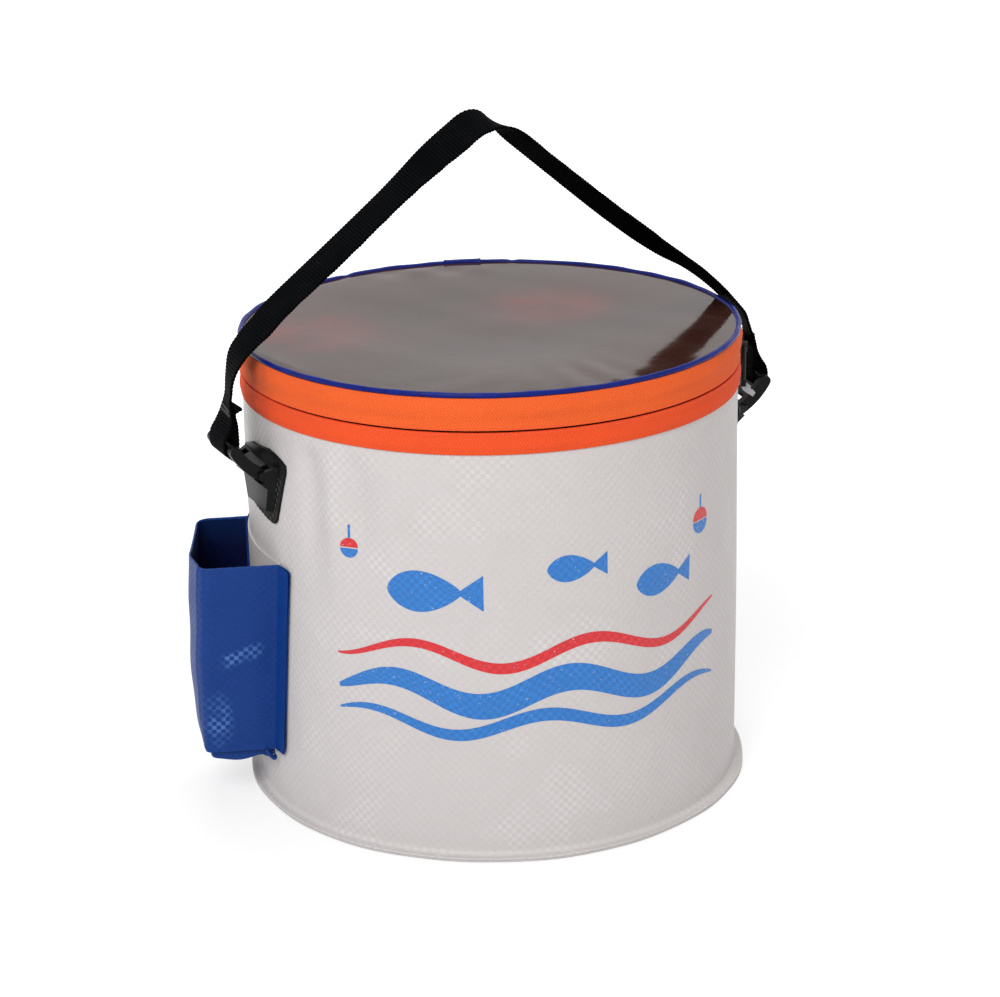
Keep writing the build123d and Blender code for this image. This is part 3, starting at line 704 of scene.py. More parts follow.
def two_shot_grip(name, tint, neck, level):
    """A grip moulded in two colours: dark above a level at rest, and light below it."""
    made = moulded_plastic(name, tint, 0.42)
    board, shader = Board(made.node_tree), made.node_tree.nodes["Principled BSDF"]
    place = board.node("ShaderNodeTexCoord").outputs["Object"]
    above = board.spread(board.split(place)[2], level - 0.0003, level + 0.0003)
    body = shader.inputs["Base Color"].links[0].from_socket
    board.feed(shader.inputs["Base Color"], board.mix(above, body, rgba(neck)))
    return made


def painted_pocket_shade(name, tint, lit, pitch):
    """Painted shade on the pocket's inner face: dark down inside, towards the pocket's own blue along its
    top.
    """
    made = coated_fabric(name, tint, pitch, 0.15, 0.55, 0.15, wear_and_rib_light=0.15, marks=POCKET_SHADE_SMUDGE)
    board, shader = Board(made.node_tree), made.node_tree.nodes["Principled BSDF"]
    level = board.split(board.node("ShaderNodeTexCoord").outputs["Object"])[2]
    body = shader.inputs["Base Color"].links[0].from_socket
    # the painted shade turns paler towards the pocket's top
    up = board.spread(level, *POCKET_SHADE_FADE)
    board.feed(shader.inputs["Base Color"], board.mix(up, body, rgba(lit)))
    return made


def glossy_piping(name, tint):
    """Coated piping: smooth and glossy, with slow changes of its colour and its gloss."""
    made, board, shader, place, _ = blank(name)
    slow = board.noise(place, 130.0, 3.0)
    fine = board.noise(place, 1500.0, 2.0)
    board.feed(
        shader.inputs["Base Color"],
        board.mix(board.spread(slow, 0.35, 0.7), rgba(shade(tint, 0.88)), rgba(shade(tint, 1.16))),
    )
    board.feed(shader.inputs["Normal"], board.bump(fine, 0.15, 0.0002))
    board.feed(shader.inputs["Roughness"], board.spread(slow, 0.3, 0.7, 0.3, 0.45))
    shader.inputs["Specular IOR Level"].default_value = 0.1
    shader.inputs["Coat Weight"].default_value = 0.04
    shader.inputs["Coat Roughness"].default_value = 0.15
    return made


def tinted_film(name, tint):
    """Clear film with a smoky tint, which also stands for painted shade: the bag's dark inside seen
    through it. Part of the light goes through it, dust dulls it in patches, and two spots are
    painted reddish as painted reflections."""
    made, board, shader, place, _ = blank(name)
    soil = board.group(group_of("soiling"), {"Vector": place, "Amount": 0.6})
    slow = board.noise(place, 11.0, 3.0)
    # the tint is the film's smoke together with painted shade of the bag's inside
    body = board.mix(board.spread(slow, 0.3, 0.7), rgba(shade(tint, 0.8)), rgba(shade(tint, 1.15)))
    # painted reflections: two reddish spots on the film
    glow = 0.0
    for spot, near, away in REFLECTION_SPOTS:
        off = board.vector("DISTANCE", place, spot, "Value")
        glow = board.math("MAXIMUM", glow, board.spread(off, near, away, 1.0, 0.0))
    glow = board.math("MULTIPLY", glow, board.spread(board.noise(place, 30.0, 3.0), 0.3, 0.7, 0.25, 1.0))
    reflected = board.mix(board.math("MULTIPLY", glow, 0.75), body, rgba(screen_colour(*REFLECTION_RED)))
    board.feed(shader.inputs["Base Color"], board.mix(soil["Dust"], reflected, rgba(screen_colour(*FILM_DUST))))
    board.feed(shader.inputs["Roughness"], board.math("MULTIPLY_ADD", soil["Smudges"], 0.2, 0.08))
    ripple = board.noise(place, 95.0, 3.0)
    board.feed(shader.inputs["Normal"], board.bump(ripple, 0.05, 0.001))
    shader.inputs["Transmission Weight"].default_value = 0.25
    shader.inputs["IOR"].default_value = 1.38
    shader.inputs["Specular IOR Level"].default_value = 0.22
    return made


def sewing_thread(name, tint):
    """Thread: twisted yarn with small changes of colour."""
    made, board, shader, place, _ = blank(name)
    twist = board.noise(place, 2400.0, 2.0)
    board.feed(
        shader.inputs["Base Color"],
        board.mix(board.spread(twist, 0.3, 0.7), rgba(shade(tint, 0.7)), rgba(shade(tint, 1.2))),
    )
    board.feed(shader.inputs["Normal"], board.bump(twist, 0.3, 0.0002))
    board.feed(shader.inputs["Roughness"], board.spread(twist, 0.3, 0.7, 0.5, 0.7))
    return made


def printed_ink(name, tint, pitch):
    """Ink on the fabric: the checks show through it, and it is worn thin in specks."""
    made, board, shader, place, own = blank(name)
    checks = board.group(group_of("checks"), {"Vector": own, "Pitch": pitch})
    speck = board.noise(place, 520.0, 4.0, 0.7)
    inked = board.mix(checks["Checks"], rgba(shade(tint, 0.82)), rgba(shade(tint, 1.06)))
    wear_and_rib_light = board.spread(speck, 0.62, 0.74)
    board.feed(shader.inputs["Base Color"], board.mix(wear_and_rib_light, inked, rgba(screen_colour(*BARE_FABRIC))))
    board.feed(shader.inputs["Normal"], board.bump(checks["Height"], 0.5, 0.0004))
    board.feed(shader.inputs["Roughness"], board.math("MULTIPLY_ADD", checks["Checks"], -0.08, 0.42))
    return made


def finish(name):
    """A finish of this bag by name, made when it is first asked for."""
    if name in made_finishes:
        return made_finishes[name]
    sizes, tints = bpy.context.scene.fishing_bag_sizes, bpy.context.scene.fishing_bag_colours
    pitch = sizes.check_pitch
    makers = {
        # the wall's bright gives a faint painted highlight on its raised checks, in clouds
        "wall": lambda: coated_fabric(
            "Wall fabric", tints.wall, pitch, 0.6, 0.46, 0.3, wear_and_rib_light=0.06, bright=0.12
        ),
        "base": lambda: coated_fabric("Base fabric", shade(tints.wall, 0.9), pitch, 0.5, 0.5, wear_and_rib_light=0.6),
        "strip": lambda: coated_fabric("Seam strip", shade(tints.wall, 0.97), pitch, 0.4, 0.4),
        # bright and glint give the pocket a painted highlight on its raised checks
        "pocket": lambda: coated_fabric(
            "Pocket fabric", tints.pocket, pitch, 0.6, 0.4, 0.18, ribs=POCKET_RIB, wear_and_rib_light=0.2,
            marks=POCKET_SMUDGE, bright=0.8, glint=screen_colour(*POCKET_GLINT),
        ),
        # painted shade: the dark inside of the pocket, paler along its top
        "pocket_inside": lambda: painted_pocket_shade(
            "Pocket painted shade", tints.pocket_inside, shade(tints.pocket, 0.3), pitch
        ),
        "tape_upper": lambda: woven_tape("Upper tape", tints.tape_upper, shade(tints.tape_upper, 0.78)),
        "tape_lower": lambda: woven_tape("Lower tape", tints.tape_lower, shade(tints.tape_lower, 0.78)),
        "coil": lambda: moulded_plastic("Zip coil", screen_colour(*COIL), 0.6),
        "seam_thread": lambda: sewing_thread("Seam thread", screen_colour(*SEAM_THREAD)),
        "thread": lambda: sewing_thread("Black thread", screen_colour(*BLACK_THREAD)),
        "film": lambda: tinted_film("Lid film", tints.film),
        "piping": lambda: glossy_piping("Piping", tints.piping),
        "slider": lambda: moulded_plastic("Slider", screen_colour(*SLIDER_METAL), 0.3),
        "grip": lambda: two_shot_grip("Pull grip", tints.grip, tints.plastic, GRIP_SPLIT),
        "anchor": lambda: moulded_plastic("Anchor moulding", tints.plastic, 0.34, 0.15),
        "patch": lambda: moulded_plastic("Anchor patch", shade(tints.plastic, 0.85), 0.42, 0.25),
        "webbing": lambda: ribbed_webbing("Webbing", tints.webbing, sizes.rib_pitch),
        "blue_ink": lambda: printed_ink("Blue ink", tints.print_blue, pitch),
        "red_ink": lambda: printed_ink("Red ink", tints.print_red, pitch),
    }
    made_finishes[name] = makers[name]()
    return made_finishes[name]


# Wall, base and print

# The wall: its radius, the fabric's thickness, the lip's reach and the radius of its bend, and
# how many columns of points go round it
WALL_RADIUS = 150.0
FABRIC = 1.2
LIP_REACH = 6.0
LIP_BEND = 3.0
WALL_COLUMNS = 505
# How far the inner face of what is sewn on lies off the wall
SEWN_SEAT = 0.05
# The seam strip: its outer face off the wall, its two ends and half its width in degrees
STRIP_STAND = 0.85
STRIP_LOW = 6.4
STRIP_HIGH = 247.5
STRIP_HALF_TURN = 4.775

# Soft dents of the wall: (azimuth, height, half width in degrees, half height, depth)
WALL_DENTS = [
    (-51.0, 214.0, 3.2, 36.0, -3.2),
    (-44.0, 203.0, 2.6, 42.0, 1.9),
    (-37.0, 212.0, 3.2, 34.0, -2.8),
    (-29.0, 222.0, 3.6, 26.0, 1.0),
    (-14.0, 60.0, 18.0, 26.0, -0.8),
    (22.0, 40.0, 22.0, 22.0, 0.7),
    (37.0, 138.0, 9.0, 26.0, -0.9),
    (62.0, 216.0, 7.0, 28.0, -1.0),
    (70.0, 120.0, 9.0, 60.0, 0.9),
    (140.0, 150.0, 16.0, 60.0, -1.3),
    (-140.0, 120.0, 18.0, 60.0, -1.2),
    (170.0, 70.0, 12.0, 30.0, 0.7),
]

# Where the dents fade out, as the start and the end of each fade: heights at the foot, under the
# tape, below the anchors and above the pocket, and azimuths off an anchor and beside the pocket
FADE_FOOT = (6, 22)
FADE_TAPE = (232, 247)
FADE_BELOW_ANCHOR = (168, 184)
FADE_OFF_ANCHOR = (13.5, 19)
FADE_ABOVE_POCKET = (162, 176)
FADE_POCKET_REAR = (-108, -103)
FADE_POCKET_FRONT = (-62, -56)


def off_azimuth(deg, at):
    """How many degrees an azimuth lies past another, from -180 to 180."""
    return (deg - at + 180) % 360 - 180


def wall_shift(deg, height):
    """How far the wall stands out of round: the sum of its dents, each a bell in azimuth times a
    bell in height, and two slow waves. It fades out at the foot, the tape, the anchors and the
    pocket."""
    deg, height = np.broadcast_arrays(np.asarray(deg, float), np.asarray(height, float))
    out = 0.25 * np.sin(np.radians(deg * 5 + 40)) * np.sin(height / 47)
    out = out + 0.18 * np.sin(np.radians(deg * 11)) * np.sin(height / 31 + 1.1)
    for at, level, half, tall, depth in WALL_DENTS:
        out = out + depth * bell(off_azimuth(deg, at), 0, half) * bell(height, level, tall)
    keep = smooth_step(height, *FADE_FOOT) * (1 - smooth_step(height, *FADE_TAPE))
    for at in ANCHORS.values():
        away = np.abs(off_azimuth(deg, at))
        by_anchor = (1 - smooth_step(away, *FADE_OFF_ANCHOR)) * smooth_step(height, *FADE_BELOW_ANCHOR)
        keep = keep * (1 - by_anchor)
    by_pocket = smooth_step(deg, *FADE_POCKET_REAR) * (1 - smooth_step(deg, *FADE_POCKET_FRONT))
    keep = keep * (1 - by_pocket * (1 - smooth_step(height, *FADE_ABOVE_POCKET)))
    return out * keep


def lip_wave(degs):
    """How far the lip's edge wanders in and out: two sine waves round the bag."""
    return 0.35 * np.sin(np.radians(degs * 7 + 20)) + 0.2 * np.sin(np.radians(degs * 17))


def wall_section(radius, inner, lip, low, thick, bend, top):
    """The wall's section as (radius, height): the lip's rounded edge, a fillet up to the outside,
    the outside, a rounded top, the inside and the underside of the lip."""
    soft = thick / 2
    turn = np.linspace(-math.pi / 2, math.pi / 2, 7)
    edge = np.stack([lip - soft + soft * np.cos(turn), low + soft + soft * np.sin(turn)], axis=1)
    shelf = np.stack([np.linspace(lip - soft, radius + bend, 4)[1:-1], np.full(2, low + thick)], axis=1)
    turn = np.linspace(0, math.pi / 2, 7)
    fillet = np.stack(
        [radius + bend - bend * np.sin(turn), low + thick + bend - bend * np.cos(turn)], axis=1
    )
    outside = np.stack([np.full(116, radius), np.linspace(low + thick + bend, top - soft, 117)[1:]], axis=1)
    turn = np.linspace(0, math.pi, 6)[1:-1]
    upper = np.stack([radius - soft + soft * np.cos(turn), top - soft + soft * np.sin(turn)], axis=1)
    inside = np.stack([np.full(30, inner), np.linspace(top - soft, low, 30)], axis=1)
    under = np.stack([np.linspace(inner, lip - soft, 4)[1:-1], np.full(2, low)], axis=1)
    return np.concatenate([edge, shelf, fillet, outside, upper, inside, under])


def wall_surface(radius, top):
    """The wall: its section turned about the axis, with the dents on its outside and the waves of
    the lip at its foot."""
    lip = radius + LIP_REACH
    section = wall_section(radius, radius - FABRIC, lip, FABRIC, FABRIC, LIP_BEND, top)
    degs = np.linspace(-180, 180, WALL_COLUMNS)
    shift = wall_shift(degs[:, None], section[None, :, 1])
    shift = shift * (section[None, :, 0] < radius + 1)
    shift = shift + lip_wave(degs)[:, None] * smooth_step(section[None, :, 0], radius + 2, radius + 5)
    return shell(round_bag(section, degs, shift), capped=False)


def base_surface(radius):
    """The base: a disc's section with a rounded rim turned about the axis, its rim waving with
    the lip."""
    rim, soft = radius + LIP_REACH, FABRIC / 2
    degs = np.linspace(-180, 180, WALL_COLUMNS)
    turn = np.linspace(-math.pi / 2, math.pi / 2, 7)
    edge = np.stack([rim - soft + soft * np.cos(turn), soft + soft * np.sin(turn)], axis=1)
    steps = np.array([0, 30, 60, 90, 115, 135, 148])
    under = np.stack([steps, np.zeros(len(steps))], axis=1)
    upper = np.stack([steps[::-1], np.full(len(steps), FABRIC - 0.01)], axis=1)
    section = np.concatenate([under, edge, upper])
    shift = lip_wave(degs)[:, None] * smooth_step(section[None, :, 0], radius, rim - 1)
    return shell(round_bag(section, degs, shift), capped=False)


def seam_strip_surface(radius):
    """The strip over the wall's seam: a thin slab bent round the wall, following its dents and
    thinning towards its two long edges."""
    section = slab_section(radius + SEWN_SEAT, radius + STRIP_STAND, STRIP_LOW, STRIP_HIGH, 60)
    degs = np.linspace(180 - STRIP_HALF_TURN, 180 + STRIP_HALF_TURN, 22)
    from_edge = np.minimum(degs - degs[0], degs[-1] - degs)
    thinner = 0.4 * (smooth_step(from_edge, -0.2, 0.25)[:, None] - 1)
    outer = section[None, :, 0] > radius + 0.2
    shift = wall_shift(degs[:, None], section[None, :, 1]) + thinner * outer
    return shell(round_bag(section, degs, shift))


class FISHINGBAG_OT_body(bpy.types.Operator):
    """Makes the wall with its lip, the base and the strip over the wall's seam"""

    bl_idname = "fishing_bag.body"
    bl_label = "Body"

    def execute(self, context):
        sizes = context.scene.fishing_bag_sizes
        radius, top = sizes.radius / MM, sizes.wall_top / MM
        drawn("wall", [wall_surface(radius, top)], "wall", "bag", ("wall_panel",))
        drawn("base", [base_surface(radius)], "base", "bag", ("base_panel",))
        strip = seam_strip_surface(radius)
        drawn("seam_strip", [strip], "strip", "bag", ("wall_seam_strip",))
        return {"FINISHED"}


# The ink's two faces off the wall
INK_FACE = 0.16
INK_BACK = 0.03
# The waves' two ends in degrees, their columns of points and how many fit round the bag
PRINT_FROM = -44
PRINT_TO = 53
PRINT_COLUMNS = 190
WAVES_PER_TURN = 9
# The print's waves: (ink, middle height, rise and fall, phase, half width)
PRINT_WAVES = [
    ("blue", 104.0, 7.5, 0.0, 8.5),
    ("blue", 84.0, 6.0, 0.9, 4.0),
    ("red", 127.0, 7.0, -0.8, 3.4),
]
# Its fish: (azimuth of the body's middle, height, length in degrees, half depth)
PRINT_FISH = [(-22.0, 166.0, 17.0, 12.5), (10.5, 178.0, 11.0, 8.0), (33.0, 160.0, 13.0, 9.5)]
# Its floats: (azimuth, height, radius)
PRINT_FLOATS = [(47.0, 186.0, 7.5), (-40.0, 186.0, 5.5)]


def print_band(degs, middle, half):
    """Ink on the wall between two heights at each azimuth: the wall's own shape, raised by the
    ink, from middle - half to middle + half."""
    share = np.linspace(-1, 1, 9)
    heights = middle[:, None] + half[:, None] * share[None]
    spread = degs[:, None] + 0 * heights
    base = WALL_RADIUS + wall_shift(spread, heights)
    outer = polar(base + INK_FACE, spread, heights)
    inner = polar(base + INK_BACK, spread, heights)[:, ::-1]
    return shell(np.concatenate([outer, inner], axis=1))


def printed_wave(middle, swing, phase, half):
    """A wave of ink: a band whose middle follows a sine of the azimuth, and whose width goes from
    0 up to its full size and back as the root of a sine."""
    degs = np.linspace(PRINT_FROM, PRINT_TO, PRINT_COLUMNS)
    level = middle + swing * np.sin(np.radians(degs) * WAVES_PER_TURN + phase)
    taper = np.sin(np.linspace(0.02, math.pi - 0.02, PRINT_COLUMNS)) ** 0.5
    return print_band(degs, level, half * taper)


def printed_fish(at, level, long, deep):
    """A fish of two bands: a body whose depth is a leaning sine made blunter, and a tail that
    widens evenly."""
    share = np.linspace(0, 1, 60)
    outline = np.sin(math.pi * share**0.8) ** 0.75
    body = print_band(at + long * (share - 0.5), level + 0 * share, deep * outline + 0.05)
    share = np.linspace(0, 1, 16)
    start = at + long * 0.47
    tail = print_band(start + long * 0.3 * share, level + 0 * share, deep * (0.12 + 0.75 * share))
    return [body, tail]


def printed_float(at, level, size):
    """A float: two half discs, the upper one red, and a thin stick above them."""
    share = np.linspace(-1, 1, 40)
    dome = np.sqrt(np.maximum(1 - share**2, 1e-4)) * size
    degs = at + np.degrees(share * size / WALL_RADIUS)
    upper = print_band(degs, level + dome / 2 + 0.4, dome / 2)
    lower = print_band(degs, level - dome / 2 - 0.4, dome / 2)
    across = at + np.degrees(np.array([-0.7, 0.0, 0.7]) / WALL_RADIUS)
    stick = print_band(across, np.full(3, level + size + 4.5), np.full(3, 4.0))
    return [upper], [lower, stick]


class FISHINGBAG_OT_print(bpy.types.Operator):
    """Prints a plain design of waves, fish and floats on the front"""

    bl_idname = "fishing_bag.print"
    bl_label = "Front print"

    def execute(self, context):
        inks = {"blue": [], "red": []}
        for ink, *wave in PRINT_WAVES:
            inks[ink].append(printed_wave(*wave))
        for fish in PRINT_FISH:
            inks["blue"].extend(printed_fish(*fish))
        for place in PRINT_FLOATS:
            red, blue = printed_float(*place)
            inks["red"].extend(red)
            inks["blue"].extend(blue)
        for ink, bands in inks.items():
            drawn(f"print_{ink}", bands, f"{ink}_ink", "bag")
        return {"FINISHED"}


# Zip

# The tapes: their outer face off the wall, their columns of points, the radius of their edges,
# how far each swells and over what height
TAPE_STAND = 1.05
TAPE_COLUMNS = 541
TAPE_SOFT = 0.4
LOWER_SWELL = 0.7
UPPER_SWELL = 1.1
LOWER_SWELL_REACH = 9.0
UPPER_SWELL_REACH = 14.5
# The coil rows: the azimuth of their ends, the pitch of their teeth and their columns of points
ZIP_END = 168
TOOTH_PITCH = 1.5
COIL_COLUMNS = 2801
# Stitches of the zip's seams: pitch, length, width, rise and how far off a tape's edge they lie
SEAM_PITCH = 2.4
SEAM_LONG = 1.7
SEAM_WIDE = 0.7
SEAM_RISE = 0.25
SEAM_OFFSET = 1.0


def full_tape(section, degs, low, high, proud, inner):
    """A tape sewn all round: its section turned about the axis, its outer face swelling by
    proud * sin^2 between low and high, more in some places than in others, and puckered beside
    the right ring."""
    share = np.clip((section[:, 1] - low) / (high - low), 0, 1)
    swell = proud * np.sin(math.pi * share) ** 2 * (section[:, 0] > inner + 0.4)
    uneven = 1 + 0.25 * np.sin(np.radians(degs * 9 + 30)) + 0.18 * np.sin(np.radians(degs * 23))
    puckers = 0.5 * bell(degs, 88, 9) * np.sin(np.radians(degs * 40))
    return shell(round_bag(section, degs, swell[None] * (uneven + puckers)[:, None]), capped=False)


def seam_row(radius, height):
    """Stitches on a circle round the bag, a pitch apart."""
    count = int(2 * math.pi * radius / SEAM_PITCH)
    at = np.linspace(-180, 180, count, endpoint=False)
    points = polar(radius, at, height)
    out = polar(1.0, at, 0.0)
    along = np.cross(np.array([0.0, 0.0, 1.0]), out)
    return stitch_grid(points, along, out, SEAM_LONG, SEAM_WIDE, SEAM_RISE)


def coil_row(radius, edge, side):
    """A coil row: a flattened tube beside a tape's edge, wider and deeper at each tooth, as a sine
    of the length along it. The side is 1 above the zip's line and -1 below it."""
    degs = np.linspace(-ZIP_END, ZIP_END, COIL_COLUMNS)
    teeth = 0.5 + 0.5 * np.sin(np.radians(degs) * radius * 2 * math.pi / TOOTH_PITCH)
    turn = np.linspace(0, 2 * math.pi, 9)[:-1]
    reach = 1.1 + 0.38 * teeth[:, None]
    heights = edge + side * 1.5 + reach * np.sin(turn)[None]
    radii = radius - 0.92 + (0.62 + 0.26 * teeth[:, None]) * np.cos(turn)[None]
    return shell(polar(radii, degs[:, None], heights))


class FISHINGBAG_OT_zip(bpy.types.Operator):
    """Makes the zip: two tapes, two coil rows, end stops and the stitching beside the teeth"""

    bl_idname = "fishing_bag.zip"
    bl_label = "Zip"

    def execute(self, context):
        sizes = context.scene.fishing_bag_sizes
        radius = sizes.radius / MM
        low, zip_low, zip_high = sizes.lower_tape / MM, sizes.zip_low / MM, sizes.zip_high / MM
        high = sizes.lid_top / MM - sizes.piping / MM
        inner, outer = radius + SEWN_SEAT, radius + TAPE_STAND
        degs = np.linspace(-180, 180, TAPE_COLUMNS)
        section = slab_section(inner, outer, low, zip_low, 16, TAPE_SOFT)
        tape = full_tape(section, degs, low, low + LOWER_SWELL_REACH, LOWER_SWELL, inner)
        drawn("tape_lower", [tape], "tape_lower", "bag", ("zip_tape_lower",))
        section = slab_section(inner, outer, zip_high, high, 22, TAPE_SOFT)
        tape = full_tape(section, degs, high - UPPER_SWELL_REACH, high, UPPER_SWELL, inner)
        drawn("tape_upper", [tape], "tape_upper", "lid", ("zip_tape_upper",))

        rows = (("lower", "bag", zip_low, -1), ("upper", "lid", zip_high, 1))
        for place, body, edge, side in rows:
            row = seam_row(outer, edge + side * SEAM_OFFSET)
            drawn(f"seam_{place}", [row], "seam_thread", body)
        for place, body, edge, side in rows:
            coil = coil_row(radius, edge, side)
            drawn(f"coil_{place}", [coil], "coil", body, (f"zip_coil_{place}",))
            softened(f"stops_{place}", f"zip_stops_{place}", 0.3, "slider", body)
        return {"FINISHED"}


class FISHINGBAG_OT_sliders(bpy.types.Operator):
    """Makes the two zip sliders with their wire links and moulded grips"""

    bl_idname = "fishing_bag.sliders"
    bl_label = "Sliders and pulls"

    def execute(self, context):
        for side in ("front", "rear"):
            slider, pull = f"slider_{side}", f"pull_{side}"
            softened(slider, f"zip_slider_{side}", 0.4, "slider", slider)
            softened(f"link_{side}", f"pull_link_{side}", 0.1, "slider", pull)
            softened(f"grip_{side}", f"pull_grip_{side}", 0.7, "grip", pull)
        return {"FINISHED"}


# Lid

# The film: its rim inside the wall, its thickness, its turned-down hem, its sag, the angle in
# degrees that its edges stay sharp above, and its rings of points
FILM_INSET = 0.85
FILM_THICKNESS = 0.5
FILM_HEM = 7.0
FILM_SAG = 2.4
FILM_SHARP = 50.0
FILM_RINGS = 66
WELT_THICKNESS = 0.8
# The sleeve over the piping's joint: its two radii and half its length in degrees
SLEEVE_OUTER = 2.25
SLEEVE_INNER = 1.66
SLEEVE_HALF_TURN = 4.583
# Where the piping is drawn in, in degrees: (azimuth, half width)
TUCKS = ((-148.7, 1.3), (167.4, 1.1))
# The two ends of the film's crease, seen from above
CREASE_FROM = (-142.0, -23.0)
CREASE_TO = (-93.0, -119.0)
# The hinge patch: half its width in degrees, its two faces inside the wall and its two ends
HINGE_HALF_TURN = 9.55
HINGE_FACE = 1.75
HINGE_BACK = 2.75
HINGE_LOW = 246.0
HINGE_HIGH = 278.0


def film_level(x, y):
    """How far the film lies above its rim: a slow sag towards the middle, folds that fan out
    from the front right of the rim, a crease across the left front and small ripples. All of it
    dies away at the rim."""
    reach = np.hypot(x, y)
    sag = -FILM_SAG * (1 - smooth_step(reach, 20, 149))
    deg = np.degrees(np.arctan2(x, -y))
    folds = np.sin(np.radians(deg) * 34 + reach * 0.05) * bell(deg, 18, 13) * bell(reach, 126, 20)
    small = np.sin(np.radians(deg) * 17 + reach * 0.04) * bell(deg, -12, 16) * bell(reach, 130, 16)
    folds = folds + 0.5 * small
    (ax, ay), (bx, by) = CREASE_FROM, CREASE_TO
    run = math.hypot(bx - ax, by - ay)
    off = ((x - ax) * (by - ay) - (y - ay) * (bx - ax)) / run
    crease = 0.8 * np.exp(-np.abs(off - 7) / 3.2) * (1 - smooth_step(reach, 138, 149))
    ripple = 0.22 * np.sin(x / 29 + 1.3) * np.sin(y / 24) + 0.04 * np.sin((x + y) / 11)
    far = 0.5 * np.sin(x / 6.5) * bell(y, 132, 12) * bell(x, -30, 50)
    fade = 1 - smooth_step(reach, 141, 149)
    return sag + (0.3 * folds + 0.75 * ripple + far) * fade + crease


def film_surface(rim, top):
    """The film: a disc of rings that lie closer towards its rim, with a hem turned down, as an
    upper and an under face. Both follow film_level."""
    reach = rim * np.linspace(0, 1, FILM_RINGS) ** 0.8
    inside = rim - FILM_THICKNESS
    under = reach[::-1] * inside / rim
    drop = np.linspace(0, FILM_HEM, 7)[1:]
    radii = np.concatenate([reach, np.full(6, rim), np.full(6, inside), under])
    z = np.concatenate([0 * reach, -drop, -drop[::-1], -FILM_THICKNESS + 0 * under])
    on_disc = np.concatenate([np.ones(FILM_RINGS), np.zeros(12), np.ones(FILM_RINGS)])
    turn = np.radians(np.linspace(-180, 180, 361))[:, None]
    x, y = radii * np.sin(turn), -radii * np.cos(turn)
    heights = top + z[None] + film_level(x, y) * on_disc[None]
    return shell(np.stack([x, y, heights], axis=-1), capped=False)


def piping_surface(radius, top, bead):
    """The piping: a tube round the lid that wanders a little and is drawn in at its two tucks."""
    degs = np.linspace(-180, 180, 721)
    turn = np.linspace(0, 2 * math.pi, 15)[:-1]
    tuck = sum(bell(degs, at, half) for at, half in TUCKS)
    wobble = 0.22 * np.sin(np.radians(degs * 13)) + 0.14 * np.sin(np.radians(degs * 31 + 50))
    wobble = wobble * (1 - smooth_step(np.abs(degs), 170, 174)) - 1.1 * tuck
    size = bead * (1 + 0.05 * np.sin(np.radians(degs * 37)))
    radii = radius + wobble[:, None] * 0.6 + size[:, None] * np.cos(turn)
    heights = top + 0.5 * wobble[:, None] + size[:, None] * np.sin(turn)
    return shell(polar(radii, degs[:, None], heights), capped=False)


def sleeve_surface(radius, top):
    """The sleeve over the piping's joint: a half ring's section carried along the piping, flared
    a little at both ends."""
    turn = np.linspace(0, math.pi, 12)
    half_ring = np.stack([np.cos(turn), np.sin(turn)], axis=1)
    ring = np.concatenate([half_ring * SLEEVE_OUTER, half_ring[::-1] * SLEEVE_INNER])
    degs = np.linspace(180 - SLEEVE_HALF_TURN, 180 + SLEEVE_HALF_TURN, 26)
    flare = 0.12 * (bell(degs, degs[0], 0.5) + bell(degs, degs[-1], 0.5))
    outer = (np.hypot(*ring.T) > 2)[None, :, None]
    loops = ring[None] * (1 + flare[:, None, None] * outer) + [radius, top]
    return shell(polar(loops[..., 0], degs[:, None], loops[..., 1]))


class FISHINGBAG_OT_lid(bpy.types.Operator):
    """Makes the lid: film, piping with its welt, the sleeve over the piping's joint, the hinge"""

    bl_idname = "fishing_bag.lid"
    bl_label = "Lid"

    def execute(self, context):
        sizes = context.scene.fishing_bag_sizes
        radius, top, bead = sizes.radius / MM, sizes.lid_top / MM, sizes.piping / MM
        rim = radius - FILM_INSET
        surface = film_surface(rim, top)
        film = drawn("lid_film", [surface], "film", "lid", ("lid_window",), FILM_SHARP)

        tube = piping_surface(radius, top, bead)
        drawn("piping_bead", [tube], "piping", "lid", ("lid_piping",))
        section = slab_section(radius - WELT_THICKNESS, radius, top - FILM_HEM, top - 1.0, 6, 0.2)
        welt = shell(round_bag(section, np.linspace(-180, 180, 361)), capped=False)
        drawn("piping_welt", [welt], "piping", "lid")
        sleeve = sleeve_surface(radius, top)
        drawn("piping_joint", [sleeve], "piping", "lid", ("piping_sleeve",))

        degs = np.linspace(180 - HINGE_HALF_TURN, 180 + HINGE_HALF_TURN, 40)
        low, high = sizes.zip_low / MM, sizes.zip_high / MM
        halves = (("lower", "bag", HINGE_LOW, low), ("upper", "lid", high, HINGE_HIGH))
        for place, body, start, end in halves:
            section = slab_section(radius - HINGE_BACK, radius - HINGE_FACE, start, end, 16, 0.3)
            patch = shell(round_bag(section, degs))
            drawn(f"hinge_{place}", [patch], "tape_lower", body, (f"lid_hinge_{place}",))
        return {"FINISHED"}


# Strap anchors

# The patch: heights of its foot, shoulder and top, and its half widths at the foot and the top
PATCH_LOW = 184.5
PATCH_SHOULDER = 224.0
PATCH_TOP = 231.0
PATCH_HALF_LOW = 18.5
PATCH_HALF_TOP = 16.0
# The patch's outline: (height, half width) at its foot, its shoulder and its top
PATCH_OUTLINE = [(PATCH_LOW, PATCH_HALF_LOW), (PATCH_SHOULDER, 33.0), (PATCH_TOP, PATCH_HALF_TOP)]
# The radius of its corners, and the radii of its two faces about the bag's axis
PATCH_CORNER = 4.0
PATCH_BACK = 150.05
PATCH_FACE = 151.35
